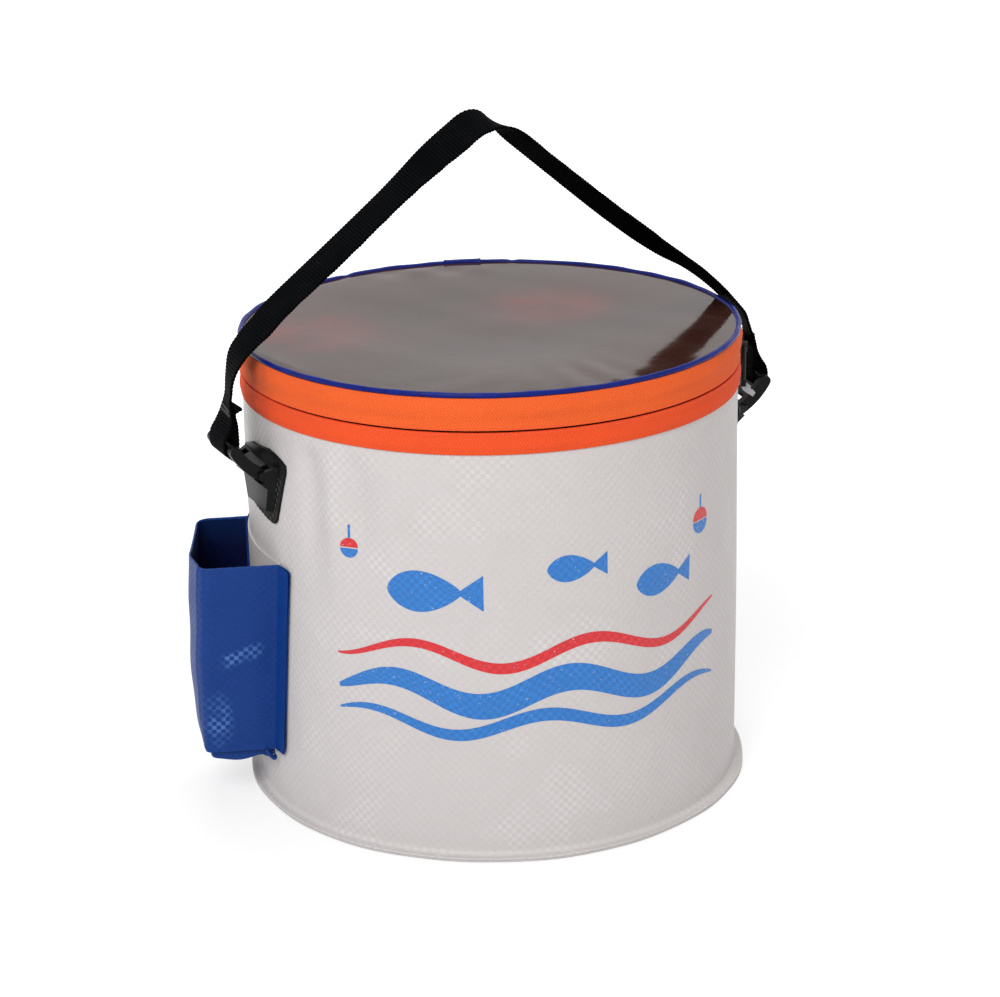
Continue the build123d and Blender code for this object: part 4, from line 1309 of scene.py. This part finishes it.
# Its stitches: their radius about the axis, the height they end at, their pitch and the insets
# of their two rows
STITCH_FACE = 151.38
STITCHES_END = 219
STITCH_PITCH = 4.3
STITCH_INSETS = (2.9, 5.4)


def on_anchor(side, along, radius, height):
    """A point on an anchor: along the wall from the anchor's middle, as the flat drawing
    wrapped on it, so that its azimuth is the anchor's plus asin(along / the wall's radius)."""
    deg = ANCHORS[side] + np.degrees(np.arcsin(np.clip(along / WALL_RADIUS, -1, 1)))
    return polar(radius, deg, height)


def patch_half(height):
    """The patch's half width at a height: straight between its corners, rounded in at both ends
    by a quarter circle, and drawn in a little at the shoulder."""
    levels, halves = np.array(PATCH_OUTLINE).T
    half = np.interp(height, levels, halves)
    for end, sign in ((levels[0], 1), (levels[-1], -1)):
        into = np.clip(1 - sign * (height - end) / PATCH_CORNER, 0, 1)
        half = half - PATCH_CORNER * (1 - np.sqrt(np.maximum(1 - into**2, 0)))
    return half - 1.3 * bell(height, levels[1], 2.2)


def slanted(side, along, height):
    """Heights near the left patch's lower edge, which rises towards the rear, and its upper edge,
    which falls towards the rear."""
    if side == "right":
        return height
    rise = 0.16 * (PATCH_HALF_LOW - along) * (1 - smooth_step(height, PATCH_LOW, 208))
    return height + rise - 0.11 * (PATCH_HALF_TOP - along) * smooth_step(height, 218, PATCH_TOP)


def patch_lift(side, along, height):
    """How far the right patch's front edge stands off the wall: a swell towards the edge, fading
    out at the top and the bottom."""
    if side == "left":
        return np.zeros_like(along)
    level = smooth_step(height, 186, 198) * (1 - smooth_step(height, 219, 228))
    return 2.6 * smooth_step(-along, 20, 31) * level


def anchor_patch(side):
    """The sewn patch: rows of points at each height, its outer face raised with rounded edges,
    ribs that fan out below the moulding, small ribs along its edges and a boss at its top."""
    near_end = 3 * np.linspace(0, 1, 8) ** 2
    middle = np.linspace(188, 228, 60)
    heights = np.concatenate([PATCH_LOW + near_end, middle, PATCH_TOP - near_end[::-1]])
    half = patch_half(heights)
    share = np.sin(np.linspace(-math.pi / 2, math.pi / 2, 61))
    along = half[:, None] * share[None]
    level = heights[:, None] + 0 * along
    from_edge = half[:, None] * (1 - np.abs(share))[None]
    into = 1 - np.clip(from_edge / 0.8, 0, 1)
    round_off = 0.5 * (1 - np.sqrt(np.clip(1 - into**2, 0, 1)))
    fan = np.arctan2(along, level - 216)
    ribs = 0.28 * np.cos(fan * 46) * (1 - smooth_step(level, 196, 204)) * smooth_step(from_edge, 1.5, 3)
    rows = 0.22 * np.cos(level * 2 * math.pi / 2.3) * bell(from_edge, 4.2, 2.2)
    rows = rows * smooth_step(level, 196, 204) * (1 - smooth_step(level, 216, 221))
    boss = 0.9 * smooth_step(level, 213, 221) * smooth_step(from_edge, 0.4, 2.4)
    face = PATCH_FACE - round_off + ribs + rows + boss + patch_lift(side, along, level)
    face = on_anchor(side, along, face, slanted(side, along, level))
    across = half[:, None] * np.linspace(1, -1, 9)[None]
    level = heights[:, None] + 0 * across
    lifted = PATCH_BACK + patch_lift(side, across, level)
    back = on_anchor(side, across, lifted, slanted(side, across, level))
    return shell(np.concatenate([face, back], axis=1))


def patch_stitches(side, inset):
    """Stitches along the patch's outline, drawn in by an inset, a pitch apart, up to a height
    below its boss."""
    levels, halves = np.array(PATCH_OUTLINE).T
    across = halves - inset * np.array([1.0, 1.0, 0.5])
    right = np.stack([across, levels + inset * np.array([1.0, -0.5, -1.0])], axis=1)
    left = right[::-1] * [-1, 1]
    corners = np.concatenate([right, left, right[:1]])
    run = running_length(corners)
    count = int(run[-1] / STITCH_PITCH)
    at = (np.arange(count) + 0.5) * run[-1] / count
    spots = np.stack([np.interp(at, run, corners[:, k]) for k in (0, 1)], axis=1)
    ahead = np.stack([np.interp(at + 0.3, run, corners[:, k]) for k in (0, 1)], axis=1)
    kept = spots[:, 1] < STITCHES_END
    spots, ahead = spots[kept], ahead[kept]
    proud = STITCH_FACE + patch_lift(side, spots[:, 0], spots[:, 1])
    points = on_anchor(side, spots[:, 0], proud, slanted(side, spots[:, 0], spots[:, 1]))
    forward = on_anchor(side, ahead[:, 0], proud, slanted(side, ahead[:, 0], ahead[:, 1]))
    out = unit(points * [1, 1, 0])
    along = unit(forward - points)
    slant = unit(along + 0.35 * np.cross(out, along))
    return stitch_grid(points, slant, out, 3.2, 1.15, 0.5)


class FISHINGBAG_OT_anchors(bpy.types.Operator):
    """Makes the strap's anchors: sewn patches, stitching, mouldings and swinging rings"""

    bl_idname = "fishing_bag.anchors"
    bl_label = "Strap anchors"

    def execute(self, context):
        for side in ANCHORS:
            patch = anchor_patch(side)
            drawn(f"patch_{side}", [patch], "patch", "bag", (f"anchor_patch_{side}",))
            rows = [patch_stitches(side, inset) for inset in STITCH_INSETS]
            drawn(f"stitching_{side}", rows, "thread", "bag", (f"anchor_stitching_{side}",))
            softened(f"moulding_{side}", f"anchor_housing_{side}", 1.0, "anchor", "bag")
            ring = f"ring_{side}"
            softened(ring, f"strap_ring_{side}", 1.2, "anchor", ring)
        return {"FINISHED"}


# Strap

# The arch's middle and the direction of its run, seen from above
STRAP_MIDDLE = np.array([3.25, -12.4])
STRAP_RUN = np.array([0.96705, 0.2546])
# The height where the arch meets its ends, and the height where it moves fully with the strap
STRAP_SPLIT = 262.0
# The strap's free arch: (along its run from the middle, height, twist in degrees)
ARCH_ROUTE = [
    (-168.3, 262.0, -9.75), (-166.6, 274.0, -7), (-162.3, 285.5, 3), (-154.7, 294.2, 9),
    (-145.3, 302.6, 13), (-133.9, 313.3, 13), (-100.9, 339.3, 14), (-70.0, 364.5, 13),
    (-54.5, 377.2, 16), (-38.7, 389.8, 24), (-22.6, 401.2, 28), (-13.4, 407.4, 26),
    (-5.9, 408.5, 20), (1.6, 406.1, 0), (11.6, 399.3, -17), (30.4, 383.2, -18),
    (69.6, 350.3, -20), (91.0, 333.4, -21), (102.0, 324.8, -19), (114.4, 315.9, -16),
    (128.0, 306.9, -10), (139.0, 298.1, -6), (148.3, 289.4, -3), (154.9, 282.3, -1),
    (160.2, 276.6, 2), (163.7, 271.0, 8), (166.6, 264.2, 11), (167.3, 262.0, 11),
]
# A sewn end in its anchor's plane: (outwards, up), from the arch round the ring's bar to the tail
END_ROUTE = [
    (168.82, 262.02), (169.6, 256.0), (170.3, 250.6), (172.3, 245.8), (175.6, 240.6),
    (176.75, 235.2), (175.9, 230.7), (172.6, 228.95), (169.4, 230.7), (168.4, 235.2),
    (168.2, 241.0), (168.5, 248.0), (168.4, 252.5), (167.6, 254.5), (164.4, 256.2),
]
# How far an end's width is turned about the upright where it meets the arch, in degrees
END_TURN = {"left": -14.0, "right": -6.75}
# The ring's bar and the two ends of the sewn leg's middle line: (outwards, up)
RING_BAR = (172.617, 233.117)
LEG_LOW = (170.42, 249.6)
LEG_TOP = (168.82, 262.0)
# Bar tacks on each end: their heights, stitches in each and half their length
TACK_LEVELS = (252.6, 255.0)
TACK_STITCHES = 17
TACK_HALF = 9.3


def end_across(side, height):
    """The direction of an end's width: level along the wall at the ring, turned by END_TURN
    where it meets the arch."""
    turn = END_TURN[side] * smooth_step(height, 246, STRAP_SPLIT)
    return polar(1.0, ANCHORS[side] + 90 + turn, 0.0)


def webbing(path, across, width, thick, rib):
    """Webbing along a path: a flat section whose faces rise and fall as a sine of its length, a rib
    apart, and whose two edges step in and out with them. One edge also wanders, by two sines."""
    tangent = unit(np.gradient(path, axis=0))
    across = unit(across - tangent * np.sum(across * tangent, axis=1, keepdims=True))
    out = np.cross(tangent, across)
    section = flat_section(width, thick)
    run = running_length(path)
    phase = 2 * math.pi * run / rib
    half = width / 2
    rise = 0.12 * np.cos(phase)[:, None] * np.sign(section[:, 1])[None]
    crown = 0.1 * (1 - (section[:, 0] / half) ** 2) * np.sign(section[:, 1])
    step = 0.22 * np.sin(phase)[:, None] * smooth_step(np.abs(section[:, 0]), half - 2.5, half)
    uneven = 0.15 * np.sin(run / 3.1)[:, None] + 0.1 * np.sin(run / 1.7)[:, None]
    step = (step + uneven * smooth_step(section[:, 0], half - 2.5, half)) * np.sign(section[:, 0])
    x = section[None, :, 0] + step
    y = section[None, :, 1] + rise + crown
    return shell(carry(path, across, out, np.stack([x, y], axis=-1)))


def strap_arch(width, thick, rib):
    """The strap's free arch: webbing along ARCH_ROUTE in the upright plane of its run, its width
    level and turned by the route's twist."""
    fine = curve_through(ARCH_ROUTE, 1500)
    path = np.column_stack([STRAP_MIDDLE + fine[:, :1] * STRAP_RUN, fine[:, 1]])
    front = np.cross([*STRAP_RUN, 0.0], [0.0, 0.0, 1.0])
    upper = unit(np.cross(front[None], unit(np.gradient(path, axis=0))))
    twist = np.radians(fine[:, 2])[:, None]
    across = front * np.cos(twist) - upper * np.sin(twist)
    return webbing(path, across, width, thick, rib)


def strap_end(side, width, thick, rib):
    """A sewn end: webbing along END_ROUTE in the upright plane through its anchor."""
    fine = curve_through(END_ROUTE, 420)
    path = polar(fine[:, 0], ANCHORS[side], fine[:, 1])
    return webbing(path, end_across(side, fine[:, 1]), width, thick, rib)


def bar_tack(side, level, thick):
    """A bar tack at a height: slanting stitches set in a zigzag across the outer face of the
    sewn leg."""
    spots = np.linspace(-TACK_HALF, TACK_HALF, TACK_STITCHES)
    zigzag = 0.55 * (-1.0) ** np.arange(TACK_STITCHES)
    lean = np.interp(level, [LEG_LOW[1], LEG_TOP[1]], [LEG_LOW[0], LEG_TOP[0]])
    along = end_across(side, level)
    face = polar(lean + thick / 2 + 0.14, ANCHORS[side], level + zigzag)
    points = face + spots[:, None] * along
    out = np.cross(along, [0.0, 0.0, 1.0])[None] + [0.0, 0.0, 0.09]
    out = np.repeat(out, TACK_STITCHES, axis=0)
    slant = unit(along[None] + np.array([0, 0, 1.0]) * (0.9 * -np.sign(zigzag))[:, None])
    return stitch_grid(points, slant, unit(out), 2.3, 0.7, 0.42)


class FISHINGBAG_OT_strap(bpy.types.Operator):
    """Makes the webbing strap: its free arch, its two sewn ends and their bar tacks"""

    bl_idname = "fishing_bag.strap"
    bl_label = "Strap"

    def execute(self, context):
        sizes = context.scene.fishing_bag_sizes
        width, thick, rib = sizes.strap_width / MM, sizes.strap_thickness / MM, sizes.rib_pitch / MM
        arch = strap_arch(width, thick, rib)
        arch = drawn("strap_webbing", [arch], "webbing", None, ("strap_arch",))
        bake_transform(arch)

        for side, deg in ANCHORS.items():
            bar = tuple(float(v) for v in polar(RING_BAR[0], deg, RING_BAR[1]) * MM)
            name, replaced = f"strap_end_{side}_webbing", (f"strap_end_{side}",)
            end = strap_end(side, width, thick, rib)
            end = drawn(name, [end], "webbing", None, replaced)
            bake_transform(end)
            tacks = [bar_tack(side, level, thick) for level in TACK_LEVELS]
            replaced = (f"strap_tacks_{side}",)
            tacks = drawn(f"bar_tacks_{side}", tacks, "thread", None, replaced)
            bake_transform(tacks)
        return {"FINISHED"}


# Pocket

# The pocket's lower edge, its floor and its top
POCKET_LOW = 36.8
POCKET_FLOOR = 40.0
POCKET_TOP = 161.0
# Its front side in y at the floor, and how far that runs on up to the top. Then its rear side in
# y, its outer side and the start of its chamfer in x, and the chamfer's length in y
POCKET_FRONT = -54.5
POCKET_FRONT_RUN = -14.0
POCKET_REAR = 21.0
POCKET_OUTER = -187.5
POCKET_KNEE = -180.5
POCKET_CHAMFER = 25
# The skin's thickness, the flange's width and the radius of the flange's inner face
POCKET_SKIN = 1.2
FLANGE_WIDTH = 12.2
FLANGE_SEAT = 151.32
# The back panel: its front edge in y at the floor and how far that runs on, the radii of its two
# faces, the radii its two side edges are placed at, and how far it tucks in, in degrees
BACK_FRONT = -52.0
BACK_FRONT_RUN = -15.6
BACK_FACE = 151.22
BACK_REAR = 150.06
BACK_EDGE = 151.3
BACK_REAR_EDGE = 149.83
BACK_TUCK = 0.2
# The seam's loose end: a hook of (x, height), its place in y and its points
CURL_HOOK = [
    (-147.5, 37.6), (-146.4, 34.6), (-144.9, 32.2), (-143.4, 30.9), (-142.6, 31.4), (-142.9, 32.4),
]
CURL_FRONT = -55.4
CURL_POINTS = 40


def pocket_share(height):
    """0 at the pocket's floor and 1 at its top."""
    return np.clip((height - POCKET_FLOOR) / (POCKET_TOP - POCKET_FLOOR), 0, 1)


def rounded_line(corners, radii, steps):
    """Lines through corners at each height. A corner with a radius becomes a curve of second
    degree that starts and ends that far off it, and the stretches between are cut into steps."""
    bends = []
    for i, (corner, radius) in enumerate(zip(corners, radii)):
        if radius == 0:
            bends.append(corner[:, None])
            continue
        back = unit(corners[i - 1] - corner) * radius
        ahead = unit(corners[i + 1] - corner) * radius
        t = np.linspace(0, 1, 7)[None, :, None]
        a, b, c = (corner + back)[:, None], corner[:, None], (corner + ahead)[:, None]
        bends.append((1 - t) ** 2 * a + 2 * t * (1 - t) * b + t**2 * c)
    line = bends[:1]
    for last, bend, count in zip(bends, bends[1:], steps):
        t = np.linspace(0, 1, count + 2)[None, 1:-1, None]
        line += [last[:, -1:] * (1 - t) + bend[:, :1] * t, bend]
    return np.concatenate(line, axis=1)


def pocket_route(height, grow=0.0):
    """The pocket seen from above at each height: flange on the wall, front side, chamfer, outer
    side, rear side, flange. The outer side draws in at the floor and stands out below the middle,
    and the flange narrows at both ends."""
    share = pocket_share(height)
    front = POCKET_FRONT + POCKET_FRONT_RUN * share - grow
    rear = np.full_like(height, POCKET_REAR) + grow
    drawn_in = 4.4 * np.exp(-np.maximum(height - 36, 0) / 7)
    outer = POCKET_OUTER - grow + drawn_in - 1.0 * (1 - smooth_step(share, 0.45, 0.98))
    knee = np.maximum(POCKET_KNEE - 4.0 * (1 - share) - grow, outer + 0.8)
    seat = FLANGE_SEAT + POCKET_SKIN / 2
    rounded = np.sqrt(np.clip(1 - np.clip((height - 158.0) / 3.0, 0, 1) ** 2, 0, 1))
    flange = np.maximum(FLANGE_WIDTH * rounded * smooth_step(height, 8, 44), 0.7)

    def wall_at(y, extra):
        """A point on the flange's circle: at a place along the bag, turned on by a length."""
        turn = np.arctan2(y, -np.sqrt(seat**2 - y**2)) + extra / seat
        return np.stack([seat * np.cos(turn), seat * np.sin(turn)], axis=-1)

    corners = [
        wall_at(front, flange),
        wall_at(front, 0),
        np.stack([knee, front], axis=-1),
        np.stack([outer, front + POCKET_CHAMFER], axis=-1),
        np.stack([outer + 6, rear], axis=-1),
        wall_at(rear, 0),
        wall_at(rear, -flange),
    ]
    return rounded_line(corners, [0, 0.6, 4.0, 5.0, 9.0, 0.6, 0], [2, 14, 12, 22, 16, 2])


def pocket_skin(heights):
    """The middle of the pocket's skin at each height, its outward normals and its levels: the
    outline swells outwards on its wide sides, is pinched along a fold, and its top sways."""
    route = pocket_route(heights)
    tangent = unit(np.gradient(route, axis=1))
    normal = np.stack([-tangent[..., 1], tangent[..., 0]], axis=-1)
    steps = np.linspace(0, 1, route.shape[1])[None]
    off_wall = smooth_step(np.hypot(route[..., 0], route[..., 1]), 153, 166)
    up = pocket_share(heights)[:, None]
    swell = 1.6 * np.sin(math.pi * up) ** 0.8 * off_wall
    swell = swell + 0.5 * np.sin(heights[:, None] / 8.5 + steps * 9) * off_wall * np.sin(math.pi * up)
    fold = 1.1 * bell(steps, 0.3, 0.012) * smooth_step(up, 0.0, 0.2)
    route = route + normal * (swell + fold * off_wall)[..., None]
    sway = 1.3 * np.sin(2 * math.pi * np.clip((steps - 0.45) / 0.5, 0, 1)) * off_wall * up**6
    level = (heights[:, None] - np.abs(sway) * 0.5 - sway * 0.4)[..., None]
    return route, normal, level


def pocket_sides():
    """The pocket's sides: an outer and an inner surface either side of the skin's middle, joined
    at their edges, with a rounded top."""
    low, high = POCKET_LOW, POCKET_TOP
    heights = np.concatenate([np.linspace(low, high - 5, 56), np.linspace(high - 4.6, high, 12)])
    route, normal, level = pocket_skin(heights)
    thinner = 0.5 * smooth_step(heights, high - 0.5, high + 0.05)
    half = (POCKET_SKIN / 2 - thinner)[:, None, None]
    outer = np.concatenate([route + normal * half, level], axis=-1)
    inner = np.concatenate([route - normal * half, level], axis=-1)
    rows = np.concatenate([outer, inner[::-1]], axis=0).transpose(1, 0, 2)
    return shell(rows)


def pocket_shade_sheet():
    """A sheet of painted shade on the inner face of the pocket's sides: a thin coat in the colour of
    the pocket's inside, just inside the skin, from wall to wall."""
    heights = np.linspace(POCKET_FLOOR + 0.5, POCKET_TOP - 1.4, 60)
    route, normal, level = [part[:, 10:-10] for part in pocket_skin(heights)]
    faces = [np.concatenate([route - normal * inset, level], axis=-1) for inset in (0.68, 0.8)]
    return shell(np.concatenate([faces[0], faces[1][::-1]], axis=0).transpose(1, 0, 2))


def pocket_back():
    """The pocket's back: a sheet bent round the wall between the lines where the sides meet it."""
    heights = np.linspace(POCKET_LOW, POCKET_TOP, 60)
    front = BACK_FRONT + BACK_FRONT_RUN * pocket_share(heights)
    start = np.degrees(np.arctan2(-np.sqrt(BACK_EDGE**2 - front**2), -front)) + BACK_TUCK
    end = np.full(60, np.degrees(np.arctan2(-BACK_REAR_EDGE, -POCKET_REAR)) - BACK_TUCK)
    across = np.linspace(0, 1, 40)[None]
    degs = end[:, None] * (1 - across) + start[:, None] * across
    level = heights[:, None] + 0 * degs
    face = polar(BACK_FACE, degs, level)
    back = polar(BACK_REAR, degs, level)[:, ::-1]
    return shell(np.concatenate([face, back], axis=1))


def pocket_floor():
    """The pocket's floor: straight lines from the wall out to the sides, sagging as a sine, as an
    upper and an under face."""
    route = pocket_route(np.array([POCKET_FLOOR]))[0][6:-6]
    turn = np.degrees(np.arctan2(route[:, 0], -route[:, 1]))
    wall = polar(151.4, np.linspace(turn[0], turn[-1], len(route)), 0.0)[:, :2]
    across = np.linspace(0, 1, 12)[None, :, None]
    flat = wall[:, None] * (1 - across) + route[:, None] * across
    sag = -1.5 * np.sin(math.pi * across) * np.ones((len(route), 1, 1))
    upper = np.concatenate([flat, POCKET_FLOOR + sag], axis=-1)
    lower = np.concatenate([flat, POCKET_FLOOR - POCKET_SKIN + sag], axis=-1)[:, ::-1]
    return shell(np.concatenate([upper, lower], axis=1))


def pocket_skirt():
    """The floor's turned-down seam: a strip set back from the sides, whose lower edge sags
    between its ends and curls at the wall, as an outer and an inner surface."""
    route = pocket_route(np.full(1, POCKET_FLOOR), grow=-3.4)[0][5:-5]
    tangent = unit(np.gradient(route, axis=0))
    normal = np.stack([tangent[:, 1], -tangent[:, 0]], axis=1)
    run = running_length(route)
    curl = bell(run, 3.5, 3.0)
    bottom = 32.4 - 3.0 * np.sin(math.pi * np.clip((run - 4) / 40, 0, 1)) - 3.2 * curl
    bottom = bottom + 0.5 * np.sin(run / 4.3)
    down = np.linspace(0, 1, 12)[None]
    level = (POCKET_FLOOR - 1.0) * (1 - down) + bottom[:, None] * down
    lean = 0.3 * down**2 + 0.5 * curl[:, None] * down
    faces = []
    for side in (1, -1):
        thick = 0.5 * side * np.sqrt(1 - np.clip(down * 1.02 - 0.02, 0, 1) ** 8)
        flat = route[:, None] + normal[:, None] * (thick + lean)[..., None]
        faces.append(np.concatenate([flat, level[..., None]], axis=-1))
    return shell(np.concatenate([faces[0], faces[1][:, ::-1]], axis=1))


def pocket_curl():
    """The seam's loose end at the wall: a flat section carried along a hook that curls up."""
    line = curve_through(CURL_HOOK, CURL_POINTS)
    path = np.stack([line[:, 0], np.full(CURL_POINTS, CURL_FRONT), line[:, 1]], axis=1)
    across = np.repeat(np.array([[0.0, 1.0, 0.0]]), CURL_POINTS, axis=0)
    out = np.cross(unit(np.gradient(path, axis=0)), across)
    return shell(carry(path, across, out, flat_section(4.4, 1.9, 6)))


class FISHINGBAG_OT_pocket(bpy.types.Operator):
    """Makes the side pocket: its sides with flanges, a sheet of painted shade inside them, its back and its
    floor
    """

    bl_idname = "fishing_bag.pocket"
    bl_label = "Pocket"

    def execute(self, context):
        drawn("pocket_sides", [pocket_sides()], "pocket", "bag", ("pocket_panel",))
        # a dark sheet of painted shade just inside the pocket's sides
        drawn("pocket_shade_sheet", [pocket_shade_sheet()], "pocket_inside", "bag")
        back = pocket_back()
        drawn("pocket_back_panel", [back], "wall", "bag", ("pocket_back",))
        floor = [pocket_floor(), pocket_skirt(), pocket_curl()]
        drawn("pocket_floor", floor, "pocket", "bag", ("pocket_base",))
        return {"FINISHED"}


# Stage

# The camera: its place and aim, its roll in radians and its lens
CAMERA_AT = (-173.9, -1526.5, 707.8)
CAMERA_AIM = (4.44, -0.51, 170.4)
CAMERA_ROLL = -0.01854
CAMERA_LENS = 94.89
# The sky's strength for what isn't seen directly, and the floor's half span in metres and level
SKY_LIGHT = 0.36
FLOOR_SPAN = 9
FLOOR_LEVEL = -0.2
# The floor's glow as the camera sees it: from this near the middle to full, between two distances
FLOOR_GLOW = 0.62
FLOOR_GLOW_SPREAD = (0.25, 0.9)
# Lamps: (name, place, aim, size, power, tint), in metres
LAMPS = [
    ("Key", (-1.0, -2.2, 2.0), (0, 0, 0.15), 1.3, 58, (1, 1, 1)),
    ("Side", (-2.4, -0.2, 1.1), (0, 0, 0.18), 0.8, 4, (1, 1, 1)),
    ("Fill", (2.2, -1.6, 1.4), (0, 0, 0.15), 1.8, 13, (1.0, 0.95, 0.92)),
    ("Top", (0.2, 0.9, 2.4), (0, 0, 0.2), 1.6, 26, (1, 1, 1)),
]


def lamp(name, place, aim, size, power, tint):
    """A square lamp that looks at a point."""
    data = bpy.data.lights.new(name, "AREA")
    data.size, data.energy, data.color = size, power, tint
    made = bpy.data.objects.new(name, data)
    bpy.context.scene.collection.objects.link(made)
    made.location = place
    made.rotation_euler = (Vector(aim) - Vector(place)).to_track_quat("-Z", "Y").to_euler()


def seen_directly(board):
    """1 for what the camera sees straight, in gloss or through glass, and 0 for other light."""
    rays = board.node("ShaderNodeLightPath").outputs
    either = board.math("MAXIMUM", rays["Is Camera Ray"], rays["Is Glossy Ray"])
    return board.math("MAXIMUM", either, rays["Is Transmission Ray"])


def floor_material():
    """A plain pale floor for other light. Seen directly, it keeps the bag's shadow and glows up
    to white away from it."""
    made = bpy.data.materials.new("Floor")
    made.use_nodes = True
    board = Board(made.node_tree)
    made.node_tree.nodes.remove(made.node_tree.nodes["Principled BSDF"])
    plain = board.node("ShaderNodeBsdfDiffuse", None, {"Color": (0.8, 0.8, 0.8, 1)})
    part = board.node("ShaderNodeBsdfDiffuse", None, {"Color": (0.42, 0.42, 0.42, 1)})
    place = board.node("ShaderNodeTexCoord").outputs["Object"]
    far = board.vector("LENGTH", place, output="Value")
    level = board.spread(far, *FLOOR_GLOW_SPREAD, FLOOR_GLOW, 1.0)
    glow = board.node("ShaderNodeEmission", None, {"Color": (1, 1, 1, 1), "Strength": level})
    both = board.node("ShaderNodeAddShader")
    board.feed(both.inputs[0], part.outputs[0])
    board.feed(both.inputs[1], glow.outputs[0])
    mixed = board.node("ShaderNodeMixShader", None, {0: seen_directly(board)})
    board.feed(mixed.inputs[1], plain.outputs[0])
    board.feed(mixed.inputs[2], both.outputs[0])
    board.feed(made.node_tree.nodes["Material Output"].inputs["Surface"], mixed.outputs[0])
    return made


def studio_sky():
    """White where it is seen directly, and dimmer for other light."""
    world = bpy.data.worlds.new("Studio")
    world.use_nodes = True
    board = Board(world.node_tree)
    sky = world.node_tree.nodes["Background"]
    sky.inputs["Color"].default_value = (1, 1, 1, 1)
    board.feed(sky.inputs["Strength"], board.spread(seen_directly(board), 0, 1, SKY_LIGHT, 1.0))
    return world


def studio_camera():
    """The camera, at the photo's place and angle, with its small roll."""
    data = bpy.data.cameras.new("Camera")
    data.sensor_fit, data.sensor_width, data.lens = "HORIZONTAL", 36.0, CAMERA_LENS
    data.clip_start, data.clip_end = 0.05, 60.0
    camera = bpy.data.objects.new("Camera", data)
    bpy.context.scene.collection.objects.link(camera)
    at, aim = Vector(CAMERA_AT) * MM, Vector(CAMERA_AIM) * MM
    look = (aim - at).normalized()
    right = look.cross(Vector((0, 0, 1))).normalized()
    up = right.cross(look)
    cos, sin = math.cos(CAMERA_ROLL), math.sin(CAMERA_ROLL)
    right, up = right * cos + up * sin, up * cos - right * sin
    turned = Matrix((right, up, -look)).transposed().to_4x4()
    camera.matrix_world = Matrix.Translation(at) @ turned
    return camera


class FISHINGBAG_OT_stage(bpy.types.Operator):
    """Makes the floor, the lamps, the sky and the camera"""

    bl_idname = "fishing_bag.stage"
    bl_label = "Stage"

    def execute(self, context):
        scene = context.scene
        span = np.linspace(-FLOOR_SPAN, FLOOR_SPAN, 3) / MM
        x, y = np.meshgrid(span, span, indexing="ij")
        ground = mesh_of("floor", [np.stack([x, y, np.full_like(x, FLOOR_LEVEL)], axis=-1)])
        put("floor", ground, floor_material(), None)
        scene.world = studio_sky()
        for settings in LAMPS:
            lamp(*settings)
        scene.camera = studio_camera()
        scene.view_settings.view_transform = "Standard"
        return {"FINISHED"}


class FISHINGBAG_PT_panel(bpy.types.Panel):
    """Lists the bag's operators"""

    bl_idname = "FISHINGBAG_PT_panel"
    bl_label = "Fishing bag"
    bl_space_type = "VIEW_3D"
    bl_region_type = "UI"
    bl_category = "Fishing bag"

    def draw(self, context):
        for operator in OPERATORS:
            self.layout.operator(operator.bl_idname)
        for group in (context.scene.fishing_bag_sizes, context.scene.fishing_bag_colours):
            for name in group.bl_rna.properties.keys():
                if name not in ("rna_type", "name"):
                    self.layout.prop(group, name)


OPERATORS = (
    FISHINGBAG_OT_body,
    FISHINGBAG_OT_print,
    FISHINGBAG_OT_zip,
    FISHINGBAG_OT_sliders,
    FISHINGBAG_OT_lid,
    FISHINGBAG_OT_anchors,
    FISHINGBAG_OT_strap,
    FISHINGBAG_OT_pocket,
    FISHINGBAG_OT_stage,
)
CLASSES = (FishingBagSizes, FishingBagColours, *OPERATORS, FISHINGBAG_PT_panel)


def register():
    for item in CLASSES:
        bpy.utils.register_class(item)
    bpy.types.Scene.fishing_bag_sizes = bpy.props.PointerProperty(type=FishingBagSizes)
    bpy.types.Scene.fishing_bag_colours = bpy.props.PointerProperty(type=FishingBagColours)


def unregister():
    del bpy.types.Scene.fishing_bag_colours
    del bpy.types.Scene.fishing_bag_sizes
    for item in reversed(CLASSES):
        bpy.utils.unregister_class(item)


def main():
    """Makes every piece and the stage."""
    register()
    for operator in OPERATORS:
        family, name = operator.bl_idname.split(".")
        getattr(getattr(bpy.ops, family), name)()


if __name__ == "__main__":
    main()
